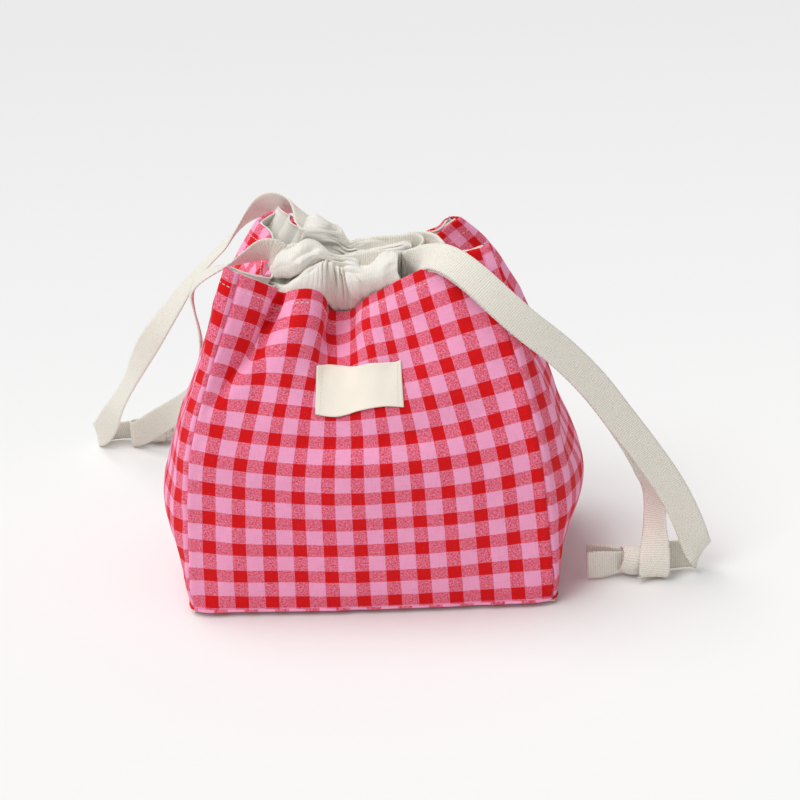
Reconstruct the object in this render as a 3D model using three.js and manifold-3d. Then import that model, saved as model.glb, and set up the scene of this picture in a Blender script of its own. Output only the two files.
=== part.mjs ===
// A boxy drawstring project bag: a gingham cotton outer, a linen lining, two
// linen casings at the mouth and two cotton webbing drawstrings, drawn nearly
// shut. Millimetres, +Z up, +X to the bag's right as seen from its front (-Y),
// origin at the middle of the base on the surface that the bag stands on.

import * as THREE from 'three';
import * as BufferGeometryUtils from 'three/addons/utils/BufferGeometryUtils.js';
import Module from 'manifold-3d';

const wasm = await Module();
wasm.setup();

// Cloth
const outerCloth = 1.0;
const liningCloth = 0.8;
const clothGap = 0.4;
const seamGap = 0.6;

// Base
const baseWidth = 240;
const baseDepth = 160;
const baseCornerRadius = 2;

// Belly, where the walls stand out furthest
const bellyWidth = 282;
const bellyDepth = 182;
const bellyHeight = 62;
const bellySeamSpacing = 230;
const bellySeamDepth = 164;
const bellySeamHeight = 82;

// Shoulder, where the walls turn in towards the mouth
const shoulderHeight = 116;
const shoulderWidth = 262;
const shoulderDepth = 174;
const shoulderSeamSpacing = 222;
const shoulderSeamDepth = 158;
const slopeHeight = 162;
const slopeGussetWidth = 206;
const slopePanelDepth = 126;
const slopeSeamHeight = 176;
const slopeSeamSpacing = 194;
const slopeSeamDepth = 126;

// Mouth: four corner points stand up, the middles are drawn in
const earHeight = 229;
const frontEarSpacing = 164;
const backEarSpacing = 116;
const frontEarReach = 46;
const backRightEarReach = 37;
const backLeftEarReach = 68;
const mouthShift = -9;
const frontRimReach = 26;
const frontRimHeight = 189;
const backRimReach = 28;
const backRimHeight = 202;
const gussetFoldSpacing = 116;
const gussetFoldHeight = 207;

// Casings: flattened sleeves with a tunnel for the two drawstrings
const casingHeight = 28;
const casingHalfLength = 36;
const casingThickness = 10.2;
const tunnelHeight = 22.6;
const tunnelThickness = 5.8;
const casingSeat = 0.8;
const gatherDepth = 1.1;
const gatherCount = 5;
const casingRimShare = 0.42;
const casingSquareness = 2.6;
const tunnelSquareness = 8;

// Webbing
const strapWidth = 20;
const strapThickness = 1.5;
const strapChamfer = 0.4;
const strapGap = 0.5;
const turnWidth = 9;
const knotWidth = 17;
const knotDepth = 19;
const knotHeight = 21;
const knotGap = 0.6;
const tailLength = 21;
const tailSpread = 5;

// Label and stitching
const labelWidth = 55;
const labelHeight = 33;
const labelThickness = 0.7;
const labelCentreShare = 0.67;
const labelLift = 0.9;
const labelInset = 3.2;
const stitchMargin = 1;
const stitchWidth = 0.6;
const stitchHeight = 0.4;
const stitchLift = 1.1;
const topstitchDrop = 9;

// Faceting
const panelColumns = 12;
const panelRows = 10;
const casingStations = 18;
const casingSides = 16;
const mergeTolerance = 1e-3;

const gingham = new THREE.MeshStandardMaterial({ name: 'gingham_cotton', color: 0xd84a78, roughness: 0.85 });
const linen = new THREE.MeshStandardMaterial({ name: 'linen', color: 0xe2dbcc, roughness: 0.9 });
const webbing = new THREE.MeshStandardMaterial({ name: 'cotton_webbing', color: 0xe2ddd0, roughness: 0.88 });
const labelCotton = new THREE.MeshStandardMaterial({ name: 'label_cotton', color: 0xf7f0e2, roughness: 0.8 });
const thread = new THREE.MeshStandardMaterial({ name: 'thread', color: 0xf4ece0, roughness: 0.7 });

const object = new THREE.Group();

function addPart(name, geometry, material) {
  const mesh = new THREE.Mesh(geometry, material);
  mesh.name = name;
  object.add(mesh);
  return mesh;
}

function vec(x, y, z) {
  return new THREE.Vector3(x, y, z);
}

// The bag's body: four seam lines and four middle lines, each a smooth curve
// from the base to the rim. A panel is stretched between two seams and pushed
// out or drawn in along its middle line.

function line(points) {
  return new THREE.CatmullRomCurve3(points, false, 'centripetal');
}

function seamLine(side, end) {
  const earSpacing = end < 0 ? frontEarSpacing : backEarSpacing;
  const backEarReach = side < 0 ? backLeftEarReach : backRightEarReach;
  const earReach = end < 0 ? frontEarReach : backEarReach;
  return line([
    vec((side * baseWidth) / 2, (end * baseDepth) / 2, 0),
    vec((side * bellySeamSpacing) / 2, (end * bellySeamDepth) / 2, bellySeamHeight),
    vec((side * shoulderSeamSpacing) / 2, (end * shoulderSeamDepth) / 2, shoulderHeight),
    vec((side * slopeSeamSpacing) / 2, (end * slopeSeamDepth) / 2, slopeSeamHeight),
    vec((side * earSpacing) / 2, end * earReach, earHeight),
  ]);
}

function panelMiddle(end) {
  const rimReach = end < 0 ? frontRimReach : backRimReach;
  const rimHeight = end < 0 ? frontRimHeight : backRimHeight;
  return line([
    vec(0, (end * baseDepth) / 2, 0),
    vec(0, (end * bellyDepth) / 2, bellyHeight),
    vec(0, (end * shoulderDepth) / 2, shoulderHeight),
    vec(mouthShift / 2, (end * slopePanelDepth) / 2, slopeHeight),
    vec(mouthShift, end * rimReach, rimHeight),
  ]);
}

function gussetMiddle(side) {
  return line([
    vec((side * baseWidth) / 2, 0, 0),
    vec((side * bellyWidth) / 2, 0, bellyHeight),
    vec((side * shoulderWidth) / 2, 0, shoulderHeight - bellyHeight / 4),
    vec((side * slopeGussetWidth) / 2, 0, slopeHeight),
    vec((side * gussetFoldSpacing) / 2, 0, gussetFoldHeight),
  ]);
}

const seams = {
  frontLeft: seamLine(-1, -1),
  frontRight: seamLine(1, -1),
  backRight: seamLine(1, 1),
  backLeft: seamLine(-1, 1),
};

// Each panel runs from its first seam to its second, anticlockwise from above,
// so that its outer face points away from the bag.
const panels = {
  front: { from: seams.frontLeft, to: seams.frontRight, middle: panelMiddle(-1), before: 'left', after: 'right' },
  right: { from: seams.frontRight, to: seams.backRight, middle: gussetMiddle(1), before: 'front', after: 'back' },
  back: { from: seams.backRight, to: seams.backLeft, middle: panelMiddle(1), before: 'right', after: 'left' },
  left: { from: seams.backLeft, to: seams.frontLeft, middle: gussetMiddle(-1), before: 'back', after: 'front' },
};

// How far a panel follows its middle line: a round bulge low down, and a
// sharper fold at the rim. across runs from -1 to 1, up from 0 to 1.
function middleShare(across, up) {
  const fold = THREE.MathUtils.smoothstep(up, 0.45, 1);
  const roundness = THREE.MathUtils.lerp(2, 1.2, fold);
  const falloff = THREE.MathUtils.lerp(1, 1.4, fold);
  return (1 - Math.abs(across) ** roundness) ** falloff;
}

function surfacePoint(panel, across, up) {
  const from = panel.from.getPointAt(up);
  const to = panel.to.getPointAt(up);
  const chord = from.clone().lerp(to, (across + 1) / 2);
  const bow = panel.middle.getPointAt(up).sub(from.add(to).multiplyScalar(0.5));
  return chord.addScaledVector(bow, middleShare(across, up));
}

function surfaceNormal(panel, across, up) {
  const step = 0.02;
  const left = surfacePoint(panel, Math.max(across - step, -1), up);
  const right = surfacePoint(panel, Math.min(across + step, 1), up);
  const below = surfacePoint(panel, across, Math.max(up - step, 0));
  const above = surfacePoint(panel, across, Math.min(up + step, 1));
  return right.sub(left).cross(above.sub(below)).normalize();
}

// The direction in which a layer lies one millimetre inwards. At a seam it is
// the mitre of the two panels, so that their layers meet there.
function inward(panel, across, up) {
  const normal = surfaceNormal(panel, across, up);
  if (Math.abs(across) < 1) return normal.negate();
  const neighbour = across > 0 ? panels[panel.after] : panels[panel.before];
  const other = surfaceNormal(neighbour, -across, up);
  const mitre = normal.clone().add(other);
  return mitre.multiplyScalar(-1 / (1 + normal.dot(other)));
}

// A point of a panel's layer: depth is how far inside the bag's outer face it
// lies, and the two edges stop short of the seam.
function layerPoint(panel, across, up, depth) {
  const point = surfacePoint(panel, across, up);
  if (Math.abs(across) === 1) {
    const towards = surfacePoint(panel, across * 0.9, up).sub(point).normalize();
    point.addScaledVector(towards, seamGap);
  }
  return point.addScaledVector(inward(panel, across, up), depth);
}

// Closed body between two grids of points with the same rows and columns.
function slabGeometry(outerGrid, innerGrid) {
  const rows = outerGrid.length - 1;
  const columns = outerGrid[0].length - 1;
  const positions = [];
  const quad = (a, b, c, d) => {
    for (const p of [a, b, c, a, c, d]) positions.push(p.x, p.y, p.z);
  };
  for (let j = 0; j < rows; j += 1) {
    for (let i = 0; i < columns; i += 1) {
      quad(outerGrid[j][i], outerGrid[j][i + 1], outerGrid[j + 1][i + 1], outerGrid[j + 1][i]);
      quad(innerGrid[j][i], innerGrid[j + 1][i], innerGrid[j + 1][i + 1], innerGrid[j][i + 1]);
    }
  }
  for (let i = 0; i < columns; i += 1) {
    quad(innerGrid[0][i], innerGrid[0][i + 1], outerGrid[0][i + 1], outerGrid[0][i]);
    quad(outerGrid[rows][i], outerGrid[rows][i + 1], innerGrid[rows][i + 1], innerGrid[rows][i]);
  }
  for (let j = 0; j < rows; j += 1) {
    quad(innerGrid[j][0], outerGrid[j][0], outerGrid[j + 1][0], innerGrid[j + 1][0]);
    quad(outerGrid[j][columns], innerGrid[j][columns], innerGrid[j + 1][columns], outerGrid[j + 1][columns]);
  }
  const geometry = new THREE.BufferGeometry();
  geometry.setAttribute('position', new THREE.Float32BufferAttribute(positions, 3));
  return BufferGeometryUtils.mergeVertices(geometry, mergeTolerance);
}

function layerGrid(panel, depth, foot) {
  const grid = [];
  for (let j = 0; j <= panelRows; j += 1) {
    const row = [];
    for (let i = 0; i <= panelColumns; i += 1) {
      const across = -1 + (2 * i) / panelColumns;
      const point = layerPoint(panel, across, j / panelRows, depth);
      if (j === 0) point.z = foot;
      row.push(point);
    }
    grid.push(row);
  }
  return grid;
}

function panelLayer(panel, depth, thickness, foot) {
  return slabGeometry(layerGrid(panel, depth, foot), layerGrid(panel, depth + thickness, foot));
}

// Base: the outer panel that the bag stands on, and the lining over it.
function basePlate(width, depth, thickness, bottom) {
  const radius = baseCornerRadius;
  const x = width / 2 - radius;
  const y = depth / 2 - radius;
  const outline = new THREE.Shape();
  outline.absarc(x, -y, radius, -Math.PI / 2, 0);
  outline.absarc(x, y, radius, 0, Math.PI / 2);
  outline.absarc(-x, y, radius, Math.PI / 2, Math.PI);
  outline.absarc(-x, -y, radius, Math.PI, 1.5 * Math.PI);
  const plate = new THREE.ExtrudeGeometry(outline, { depth: thickness, bevelEnabled: false, curveSegments: 3 });
  return plate.translate(0, 0, bottom);
}

const outerFoot = outerCloth + clothGap;
const liningDepth = outerCloth + clothGap;
const liningFoot = outerFoot + liningCloth + clothGap;
const liningInset = 2 * (liningDepth + clothGap);
const wallDepth = liningDepth + liningCloth;

addPart('outer_base', basePlate(baseWidth, baseDepth, outerCloth, 0), gingham);
addPart('outer_front_panel', panelLayer(panels.front, 0, outerCloth, outerFoot), gingham);
addPart('outer_back_panel', panelLayer(panels.back, 0, outerCloth, outerFoot), gingham);
addPart('outer_left_gusset', panelLayer(panels.left, 0, outerCloth, outerFoot), gingham);
addPart('outer_right_gusset', panelLayer(panels.right, 0, outerCloth, outerFoot), gingham);

addPart('lining_base', basePlate(baseWidth - liningInset, baseDepth - liningInset, liningCloth, outerFoot), linen);
addPart('lining_front_panel', panelLayer(panels.front, liningDepth, liningCloth, liningFoot), linen);
addPart('lining_back_panel', panelLayer(panels.back, liningDepth, liningCloth, liningFoot), linen);
addPart('lining_left_gusset', panelLayer(panels.left, liningDepth, liningCloth, liningFoot), linen);
addPart('lining_right_gusset', panelLayer(panels.right, liningDepth, liningCloth, liningFoot), linen);

// Casings: each is a sleeve along its own line, with a skirt that comes down
// to the rim between the outer and the lining. The sleeve is gathered.

// A casing's line is given from its left end to its right end, in shares: of
// its half length from the middle of the mouth, of the reach of the rim under
// it, and of its own height above the rim.
function casingLine(reach, rimHeight, stations) {
  return line(
    stations.map(([along, out, lift]) =>
      vec(mouthShift + along * casingHalfLength, out * reach, rimHeight + lift * casingHeight),
    ),
  );
}

const frontCasingLine = casingLine(-frontRimReach, frontRimHeight, [
  [-1, 0.33, 1],
  [-0.83, 0.34, 1],
  [-0.5, 0.46, 0.79],
  [0, 0.54, 0.55],
  [0.47, 0.54, 0.61],
  [0.81, 0.5, 0.79],
  [0.97, 0.5, 0.79],
]);
const backCasingLine = casingLine(backRimReach, backRimHeight, [
  [-0.542, 0.55, 0.72],
  [-0.42, 0.56, 0.725],
  [-0.2, 0.62, 0.76],
  [0, 0.64, 0.714],
  [0.64, 0.607, 0.571],
  [1, 0.571, 0.464],
  [1.17, 0.571, 0.464],
]);

// A ring round a line, between an ellipse and a box: the squareness is the
// power of both. The ring stands square to the line, with its height upwards.
function ring(centreLine, share, thickness, height, squareness) {
  const centre = centreLine.getPointAt(share);
  const along = centreLine.getTangentAt(share);
  const side = vec(-along.y, along.x, 0).normalize();
  const up = along.clone().cross(side);
  const bend = (value) => Math.sign(value) * Math.abs(value) ** (2 / squareness);
  const points = [];
  for (let i = 0; i < casingSides; i += 1) {
    const angle = (2 * Math.PI * i) / casingSides;
    const a = (bend(Math.cos(angle)) * thickness) / 2;
    const b = (bend(Math.sin(angle)) * height) / 2;
    points.push(centre.clone().addScaledVector(side, a).addScaledVector(up, b));
  }
  return points;
}

function casingGeometry(centreLine, panel, end) {
  const outerRings = [];
  const innerRings = [];
  for (let k = 0; k <= casingStations; k += 1) {
    const share = k / casingStations;
    const across = -end * THREE.MathUtils.lerp(-casingRimShare, casingRimShare, share);
    const rim = surfacePoint(panel, across, 1).addScaledVector(inward(panel, across, 1), wallDepth);
    rim.z += casingSeat;
    const gather = gatherDepth * Math.cos(2 * Math.PI * gatherCount * share);
    const outer = ring(centreLine, share, casingThickness + gather, casingHeight + 2 * gather, casingSquareness);
    const inner = ring(centreLine, share, tunnelThickness, tunnelHeight, tunnelSquareness);
    outer[(casingSides * 3) / 4].copy(rim);
    outerRings.push(outer);
    innerRings.push(inner);
  }
  return sleeveGeometry(outerRings, innerRings);
}

// Closed body between an outer and an inner row of rings, open at both ends.
function sleeveGeometry(outerRings, innerRings) {
  const positions = [];
  const quad = (a, b, c, d) => {
    for (const p of [a, b, c, a, c, d]) positions.push(p.x, p.y, p.z);
  };
  const last = outerRings.length - 1;
  for (let i = 0; i < casingSides; i += 1) {
    const next = (i + 1) % casingSides;
    for (let k = 0; k < last; k += 1) {
      quad(outerRings[k][i], outerRings[k][next], outerRings[k + 1][next], outerRings[k + 1][i]);
      quad(innerRings[k][next], innerRings[k][i], innerRings[k + 1][i], innerRings[k + 1][next]);
    }
    quad(innerRings[0][i], innerRings[0][next], outerRings[0][next], outerRings[0][i]);
    quad(outerRings[last][i], outerRings[last][next], innerRings[last][next], innerRings[last][i]);
  }
  const geometry = new THREE.BufferGeometry();
  geometry.setAttribute('position', new THREE.Float32BufferAttribute(positions, 3));
  return BufferGeometryUtils.mergeVertices(geometry, mergeTolerance);
}

addPart('front_casing', casingGeometry(frontCasingLine, panels.front, -1), linen);
addPart('back_casing', casingGeometry(backCasingLine, panels.back, 1), linen);

// Webbing: a flat section carried along a route. Each point of a route holds
// its place and the way that the face of the strap looks there.

const halfWidth = strapWidth / 2;
const halfThickness = strapThickness / 2;
const strapSection = [
  [halfWidth, halfThickness - strapChamfer],
  [halfWidth - strapChamfer, halfThickness],
  [strapChamfer - halfWidth, halfThickness],
  [-halfWidth, halfThickness - strapChamfer],
  [-halfWidth, strapChamfer - halfThickness],
  [strapChamfer - halfWidth, -halfThickness],
  [halfWidth - strapChamfer, -halfThickness],
  [halfWidth, strapChamfer - halfThickness],
];

function strapRings(route) {
  const places = route.map(([x, y, z]) => vec(x, y, z));
  return places.map((place, k) => {
    const before = places[Math.max(k - 1, 0)];
    const after = places[Math.min(k + 1, places.length - 1)];
    const tangent = after.clone().sub(before).normalize();
    const face = vec(...route[k].slice(3, 6));
    face.addScaledVector(tangent, -face.dot(tangent)).normalize();
    const across = tangent.clone().cross(face);
    const spread = (route[k][6] ?? strapWidth) / strapWidth;
    return strapSection.map(([a, b]) =>
      place.clone().addScaledVector(across, a * spread).addScaledVector(face, b),
    );
  });
}

// Both faces of the strap are split along the same diagonal, so that it keeps
// its thickness where it twists.
function strapGeometry(route) {
  const rings = strapRings(route);
  const sides = strapSection.length;
  const last = rings.length - 1;
  const positions = [];
  const triangle = (a, b, c) => {
    for (const p of [a, b, c]) positions.push(p.x, p.y, p.z);
  };
  for (let k = 0; k < last; k += 1) {
    const [near, far] = [rings[k], rings[k + 1]];
    for (let i = 0; i < sides; i += 1) {
      const next = (i + 1) % sides;
      if (i < sides / 2) {
        triangle(near[i], far[i], far[next]);
        triangle(near[i], far[next], near[next]);
      } else {
        triangle(near[i], far[i], near[next]);
        triangle(far[i], far[next], near[next]);
      }
    }
  }
  for (let i = 1; i < sides - 1; i += 1) {
    triangle(rings[0][0], rings[0][i], rings[0][i + 1]);
    triangle(rings[last][0], rings[last][i + 1], rings[last][i]);
  }
  const geometry = new THREE.BufferGeometry();
  geometry.setAttribute('position', new THREE.Float32BufferAttribute(positions, 3));
  return BufferGeometryUtils.mergeVertices(geometry, mergeTolerance);
}

// In each tunnel the two drawstrings lie face to face, half a step either side
// of the tunnel's line. The left one lies on the side of the mouth.
const strapStep = (strapThickness + strapGap) / 2;

function tunnelRoute(centreLine, offset) {
  const route = [];
  for (let k = 0; k <= casingStations; k += 1) {
    const centre = centreLine.getPointAt(k / casingStations);
    const along = centreLine.getTangentAt(k / casingStations);
    const side = vec(-along.y, along.x, 0).normalize();
    const place = centre.addScaledVector(side, offset * strapStep);
    route.push([...place.toArray(), ...side.toArray()]);
  }
  return route;
}

function faceAbout(route) {
  return route.map(([x, y, z, a, b, c]) => [x, y, z, -a, -b, -c]);
}

// On the right, past the ends of the casings, the left drawstring turns back.
const leftTurn = [
  [30.5, -11, 211.2, 0.25, -1, 0],
  [36.5, -7.5, 211.6, 0.8, -0.7, 0],
  [39.8, 0, 212.3, 1, -0.15, 0],
  [40.8, 7.5, 213.6, 1, 0.3, 0],
  [38, 13.2, 214.6, 0.6, 0.8, 0],
];

// On the left the right drawstring turns back under both free strands. It is
// bunched up there, so the last number of a point is the width that is left.
const rightTurn = [
  [-47.7, -9.6, 217, 0, 1, 0, 16],
  [-51.5, -9.9, 216, 0, 1, 0, 10],
  [-53.7, -10.2, 213, 0, 1, 0, turnWidth],
  [-54.2, -10.3, 209, 0, 1, 0, turnWidth],
  [-54.2, -9.7, 205, 0, 1, 0.3, turnWidth],
  [-54, -6.5, 202, 0, 0.6, 0.8, turnWidth],
  [-52, 0, 201, 0, 0, 1, turnWidth],
  [-45.5, 8.5, 201, 0, 0, 1, 8],
  [-38, 14.6, 203, 0, -0.6, 0.8, 7],
  [-33.6, 17.3, 207.5, 0, -1, 0, 6],
  [-32.8, 17.4, 213, 0, -1, 0, 6],
  [-32.5, 17.2, 217.6, 0, -1, 0, 6],
  [-31.8, 16.8, 220.4, 0, -1, 0, turnWidth],
  [-30.3, 16.5, 221.2, 0, -1, 0, 14],
];

addPart(
  'left_drawstring_run',
  strapGeometry([
    ...faceAbout(tunnelRoute(frontCasingLine, 1)),
    ...leftTurn,
    ...tunnelRoute(backCasingLine, -1).reverse(),
  ]),
  webbing,
);
addPart(
  'right_drawstring_run',
  strapGeometry([
    ...tunnelRoute(frontCasingLine, -1).reverse(),
    ...rightTurn,
    ...faceAbout(tunnelRoute(backCasingLine, 1)),
  ]),
  webbing,
);

// Free strands: from the end of a casing, over the rim and down to the knot.

const rightFrontRoute = [
  [27.2, -14, 211, 0, -1, 0],
  [30.5, -14, 211, 0, -1, 0],
  [37.5, -21, 216, -0.5, -0.75, 0.4],
  [44, -32, 222.5, -0.44, -0.55, 0.7],
  [52, -42, 225.5, -0.35, -0.5, 0.78],
  [62, -51, 223.5, -0.05, -0.7, 0.7],
  [74, -59, 216, 0.15, -0.85, 0.5],
  [88, -65, 203.5, 0.25, -0.9, 0.35],
  [104, -67, 188, 0.25, -0.94, 0.25],
  [126, -63, 167, 0.25, -0.94, 0.2],
  [146, -57, 143, 0.25, -0.95, 0.2],
  [164, -52, 116, 0.25, -0.95, 0.15],
  [181, -48, 90, 0.25, -0.95, 0.15],
  [197, -45, 63, 0.25, -0.96, 0.1],
  [208, -43, 38, 0.2, -0.97, 0],
  [213.5, -42, 21, 0.25, -0.95, -0.1],
  [216.5, -40, 13.5, 0.75, -0.5, -0.4],
  [216, -36.5, 11.5, 0.9, 0.1, -0.4],
  [211, -34.5, 11, 0.35, 0.93, 0],
  [200, -35.5, 11, 0, 1, 0],
  [188, -38, 11, -0.1, 1, 0],
  [179.5, -39.5, 11, -0.1, 1, 0],
];

const rightBackRoute = [
  [33.5, 17, 215, 0, -1, 0],
  [37.5, 17, 215, 0, -1, 0],
  [44, 13.5, 215.8, -0.8, -0.7, 0],
  [48.5, 4, 216.5, -1, 0, 0.1],
  [50, -8, 217, -0.9, 0, 0.35],
  [50, -21.5, 218.3, -0.65, -0.35, 0.68],
  [50, -35, 222, -0.4, -0.52, 0.74],
  [55, -42.8, 223.4, -0.28, -0.56, 0.77],
  [62.1, -49.1, 221.6, -0.05, -0.7, 0.7],
  [73.6, -56.8, 214.6, 0.15, -0.85, 0.5],
  [87.3, -62.6, 202.5, 0.25, -0.9, 0.35],
  [103.3, -64.4, 187.3, 0.25, -0.94, 0.25],
  [125.3, -60.4, 166.4, 0.25, -0.94, 0.2],
  [145.3, -54.4, 142.4, 0.25, -0.95, 0.2],
  [162.8, -49, 116, 0.25, -0.95, 0.15],
  [176.5, -43.5, 91, 0.2, -0.97, 0.1],
  [183.5, -38.5, 74, -0.15, -0.97, 0.1],
  [186.5, -36, 60, -0.6, -0.75, 0],
  [187, -36.5, 48, -0.75, -0.65, 0],
  [186.5, -40, 36, -0.7, -0.7, 0],
  [186, -46.5, 25, -0.45, -0.9, 0],
  [185.5, -52, 14, -0.15, -1, 0],
  [185, -53, 7.5, -0.1, -0.9, -0.4],
  [184, -51.5, 3.4, -0.1, -0.4, -0.9],
  [182, -48.5, 2.8, -0.1, 0, -1],
];

const leftFrontRoute = [
  [-45.6, -7.5, 217, 0, 1, 0],
  [-49.5, -7.5, 217, 0, 1, 0],
  [-53.5, -6.5, 220, 0.05, 0.95, 0.15],
  [-58, -4.5, 222.8, 0, 0.88, 0.4],
  [-65, -3.5, 222.2, -0.15, 0.78, 0.6],
  [-74.5, -5.5, 218.6, -0.3, 0.55, 0.78],
  [-83.5, -6.5, 214.5, -0.38, 0.3, 0.88],
  [-93, -4.5, 210.5, -0.48, 0.12, 0.87],
  [-102, 0.5, 205.5, -0.64, 0, 0.76],
  [-109, 7, 198.8, -0.78, -0.1, 0.6],
  [-113.2, 14, 190.5, -0.88, -0.3, 0.35],
  [-115.5, 23, 179, -0.9, -0.38, 0.1],
  [-116, 35, 165, -0.92, -0.35, 0],
  [-117.5, 52, 147, -0.96, -0.22, 0.05],
  [-121, 73, 127, -0.95, -0.1, 0.22],
  [-127, 97, 105, -0.9, -0.1, 0.35],
  [-133.5, 121, 86, -0.85, -0.2, 0.4],
  [-141, 144, 69, -0.75, -0.4, 0.45],
  [-150, 166, 53.5, -0.6, -0.6, 0.4],
  [-159.5, 182, 42, -0.4, -0.8, 0.35],
  [-171, 195, 31.5, -0.25, -0.93, 0.25],
  [-184, 204, 21.5, -0.15, -0.98, 0.1],
  [-194, 208.8, 13.8, -0.2, -0.98, 0],
  [-201, 211.4, 11.2, -0.6, -0.8, 0],
  [-203.5, 215, 11, -1, 0, 0],
  [-201.8, 218.4, 11, -0.65, 0.75, 0],
  [-197, 219.8, 11, -0.1, 1, 0],
  [-189.5, 219.8, 11, 0, 1, 0],
];

const leftBackRoute = [
  [-29.3, 14, 221.2, 0, -1, 0],
  [-32.4, 13.8, 221.2, 0, -1, 0],
  [-35.6, 13.6, 221.3, -0.25, -1, 0],
  [-38.4, 16, 221.5, -0.85, -0.55, -0.05],
  [-39.2, 21.5, 222.6, -1, 0.1, -0.15],
  [-38, 28, 224, -0.85, 0.3, -0.45],
  [-36.8, 35, 226, -0.6, 0.2, -0.75],
  [-37.2, 43, 228.4, -0.5, 0.05, -0.85],
  [-40.2, 51.5, 231, -0.6, -0.1, -0.75],
  [-46.4, 61, 233.2, -0.68, -0.35, -0.62],
  [-55.3, 70, 233.8, -0.66, -0.5, -0.56],
  [-64.5, 78.5, 230.5, -0.5, -0.62, -0.6],
  [-74, 87, 223.5, 0.1, -0.55, -0.8],
  [-86.8, 95, 211.6, 0.6, -0.2, -0.77],
  [-98.5, 102.5, 198.8, 0.75, 0.08, -0.66],
  [-111, 108.5, 186, 0.74, 0.11, -0.66],
  [-124.5, 114, 171.5, 0.79, 0.22, -0.58],
  [-140.5, 121.5, 150.8, 0.79, 0.45, -0.41],
  [-155, 130, 131, 0.74, 0.63, -0.23],
  [-168.8, 140, 111.8, 0.67, 0.74, -0.03],
  [-181.2, 152, 91.5, 0.78, 0.62, -0.08],
  [-193.3, 166, 69, 0.88, 0.42, -0.21],
  [-204.5, 180, 49.5, 0.85, 0.5, -0.14],
  [-214.5, 192, 32.5, 0.68, 0.72, 0.12],
  [-222.5, 203, 19.5, 0.66, 0.72, 0.2],
  [-229, 212, 12, 0.8, 0.6, 0.2],
  [-231, 217.5, 10.4, 1, 0.05, 0.1],
  [-228.5, 222.3, 9.8, 0.7, -0.65, -0.25],
  [-222, 224.6, 9.5, 0.15, -0.9, -0.4],
  [-212, 225.2, 9.5, 0, -0.88, -0.47],
  [-202, 224.8, 10, 0, -0.93, -0.35],
  [-190, 223.4, 11, 0, -1, -0.1],
];

addPart('left_strand_front', strapGeometry(leftFrontRoute), webbing);
addPart('left_strand_back', strapGeometry(leftBackRoute), webbing);
addPart('right_strand_front', strapGeometry(rightFrontRoute), webbing);
addPart('right_strand_back', strapGeometry(rightBackRoute), webbing);

// Knots: a wrapped lump of webbing with two short tails that stand on edge.

function solidOf(geometry) {
  const bare = geometry.clone();
  bare.deleteAttribute('normal');
  bare.deleteAttribute('uv');
  const merged = BufferGeometryUtils.mergeVertices(bare, mergeTolerance);
  return new wasm.Manifold(
    new wasm.Mesh({
      numProp: 3,
      vertProperties: new Float32Array(merged.attributes.position.array),
      triVerts: new Uint32Array(merged.index.array),
    }),
  );
}

function geometryOf(solid) {
  const mesh = solid.getMesh();
  const geometry = new THREE.BufferGeometry();
  geometry.setAttribute('position', new THREE.BufferAttribute(mesh.vertProperties, 3));
  geometry.setIndex(new THREE.BufferAttribute(mesh.triVerts, 1));
  return geometry;
}

function knotGeometry(centre, tailDirection) {
  const lump = new THREE.SphereGeometry(0.5, 14, 10);
  lump.scale(knotWidth, knotDepth, knotHeight);
  let knot = solidOf(lump);
  for (const spread of [-1, 1]) {
    const tail = new THREE.BoxGeometry(tailLength, strapThickness, strapWidth - 2);
    tail.translate((tailDirection * (tailLength + knotWidth / 2)) / 2, 0, 0);
    tail.rotateZ((tailDirection * spread * tailSpread * Math.PI) / 180);
    tail.translate(0, spread * tailSpread * 0.5, 0);
    knot = knot.add(solidOf(tail));
  }
  return geometryOf(knot).translate(centre.x, centre.y, centre.z);
}

// A knot lies just past the end of its front strand.
function knotCentre(route, tailDirection, sideways) {
  const [x, y] = route[route.length - 1];
  return vec(x + tailDirection * (knotWidth / 2 + knotGap), y + sideways, knotHeight / 2 + knotGap / 6);
}

addPart('right_knot', knotGeometry(knotCentre(rightFrontRoute, -1, -2), -1), webbing);
addPart('left_knot', knotGeometry(knotCentre(leftFrontRoute, 1, 1.7), 1), webbing);

// Label: a small patch on the front panel, sewn down along its two short
// edges, and the stitch lines themselves.

const panelUp = panels.front.middle.getLength();

function frontPatch(left, right, bottom, top, lift, thickness, columns, rows) {
  const panel = panels.front;
  const outerGrid = [];
  const innerGrid = [];
  for (let j = 0; j <= rows; j += 1) {
    const up = labelCentreShare + THREE.MathUtils.lerp(bottom, top, j / rows) / panelUp;
    const halfPanel = panel.from.getPointAt(up).distanceTo(panel.to.getPointAt(up)) / 2;
    const outerRow = [];
    const innerRow = [];
    for (let i = 0; i <= columns; i += 1) {
      const across = THREE.MathUtils.lerp(left, right, i / columns) / halfPanel;
      const point = surfacePoint(panel, across, up);
      const normal = surfaceNormal(panel, across, up);
      innerRow.push(point.clone().addScaledVector(normal, lift));
      outerRow.push(point.clone().addScaledVector(normal, lift + thickness));
    }
    outerGrid.push(outerRow);
    innerGrid.push(innerRow);
  }
  return slabGeometry(outerGrid, innerGrid);
}

const labelRight = labelWidth / 2;
const labelTop = labelHeight / 2;
addPart(
  'label',
  frontPatch(-labelRight, labelRight, -labelTop, labelTop, labelLift, labelThickness, 6, 4),
  labelCotton,
);
for (const [name, side] of [['label_stitches_left', -1], ['label_stitches_right', 1]]) {
  const x = side * (labelRight - labelInset);
  const lift = labelLift + labelThickness + clothGap;
  const [left, right] = [x - stitchWidth / 2, x + stitchWidth / 2];
  const top = labelTop - stitchMargin;
  addPart(name, frontPatch(left, right, -top, top, lift, stitchHeight, 1, 4), thread);
}

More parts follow.
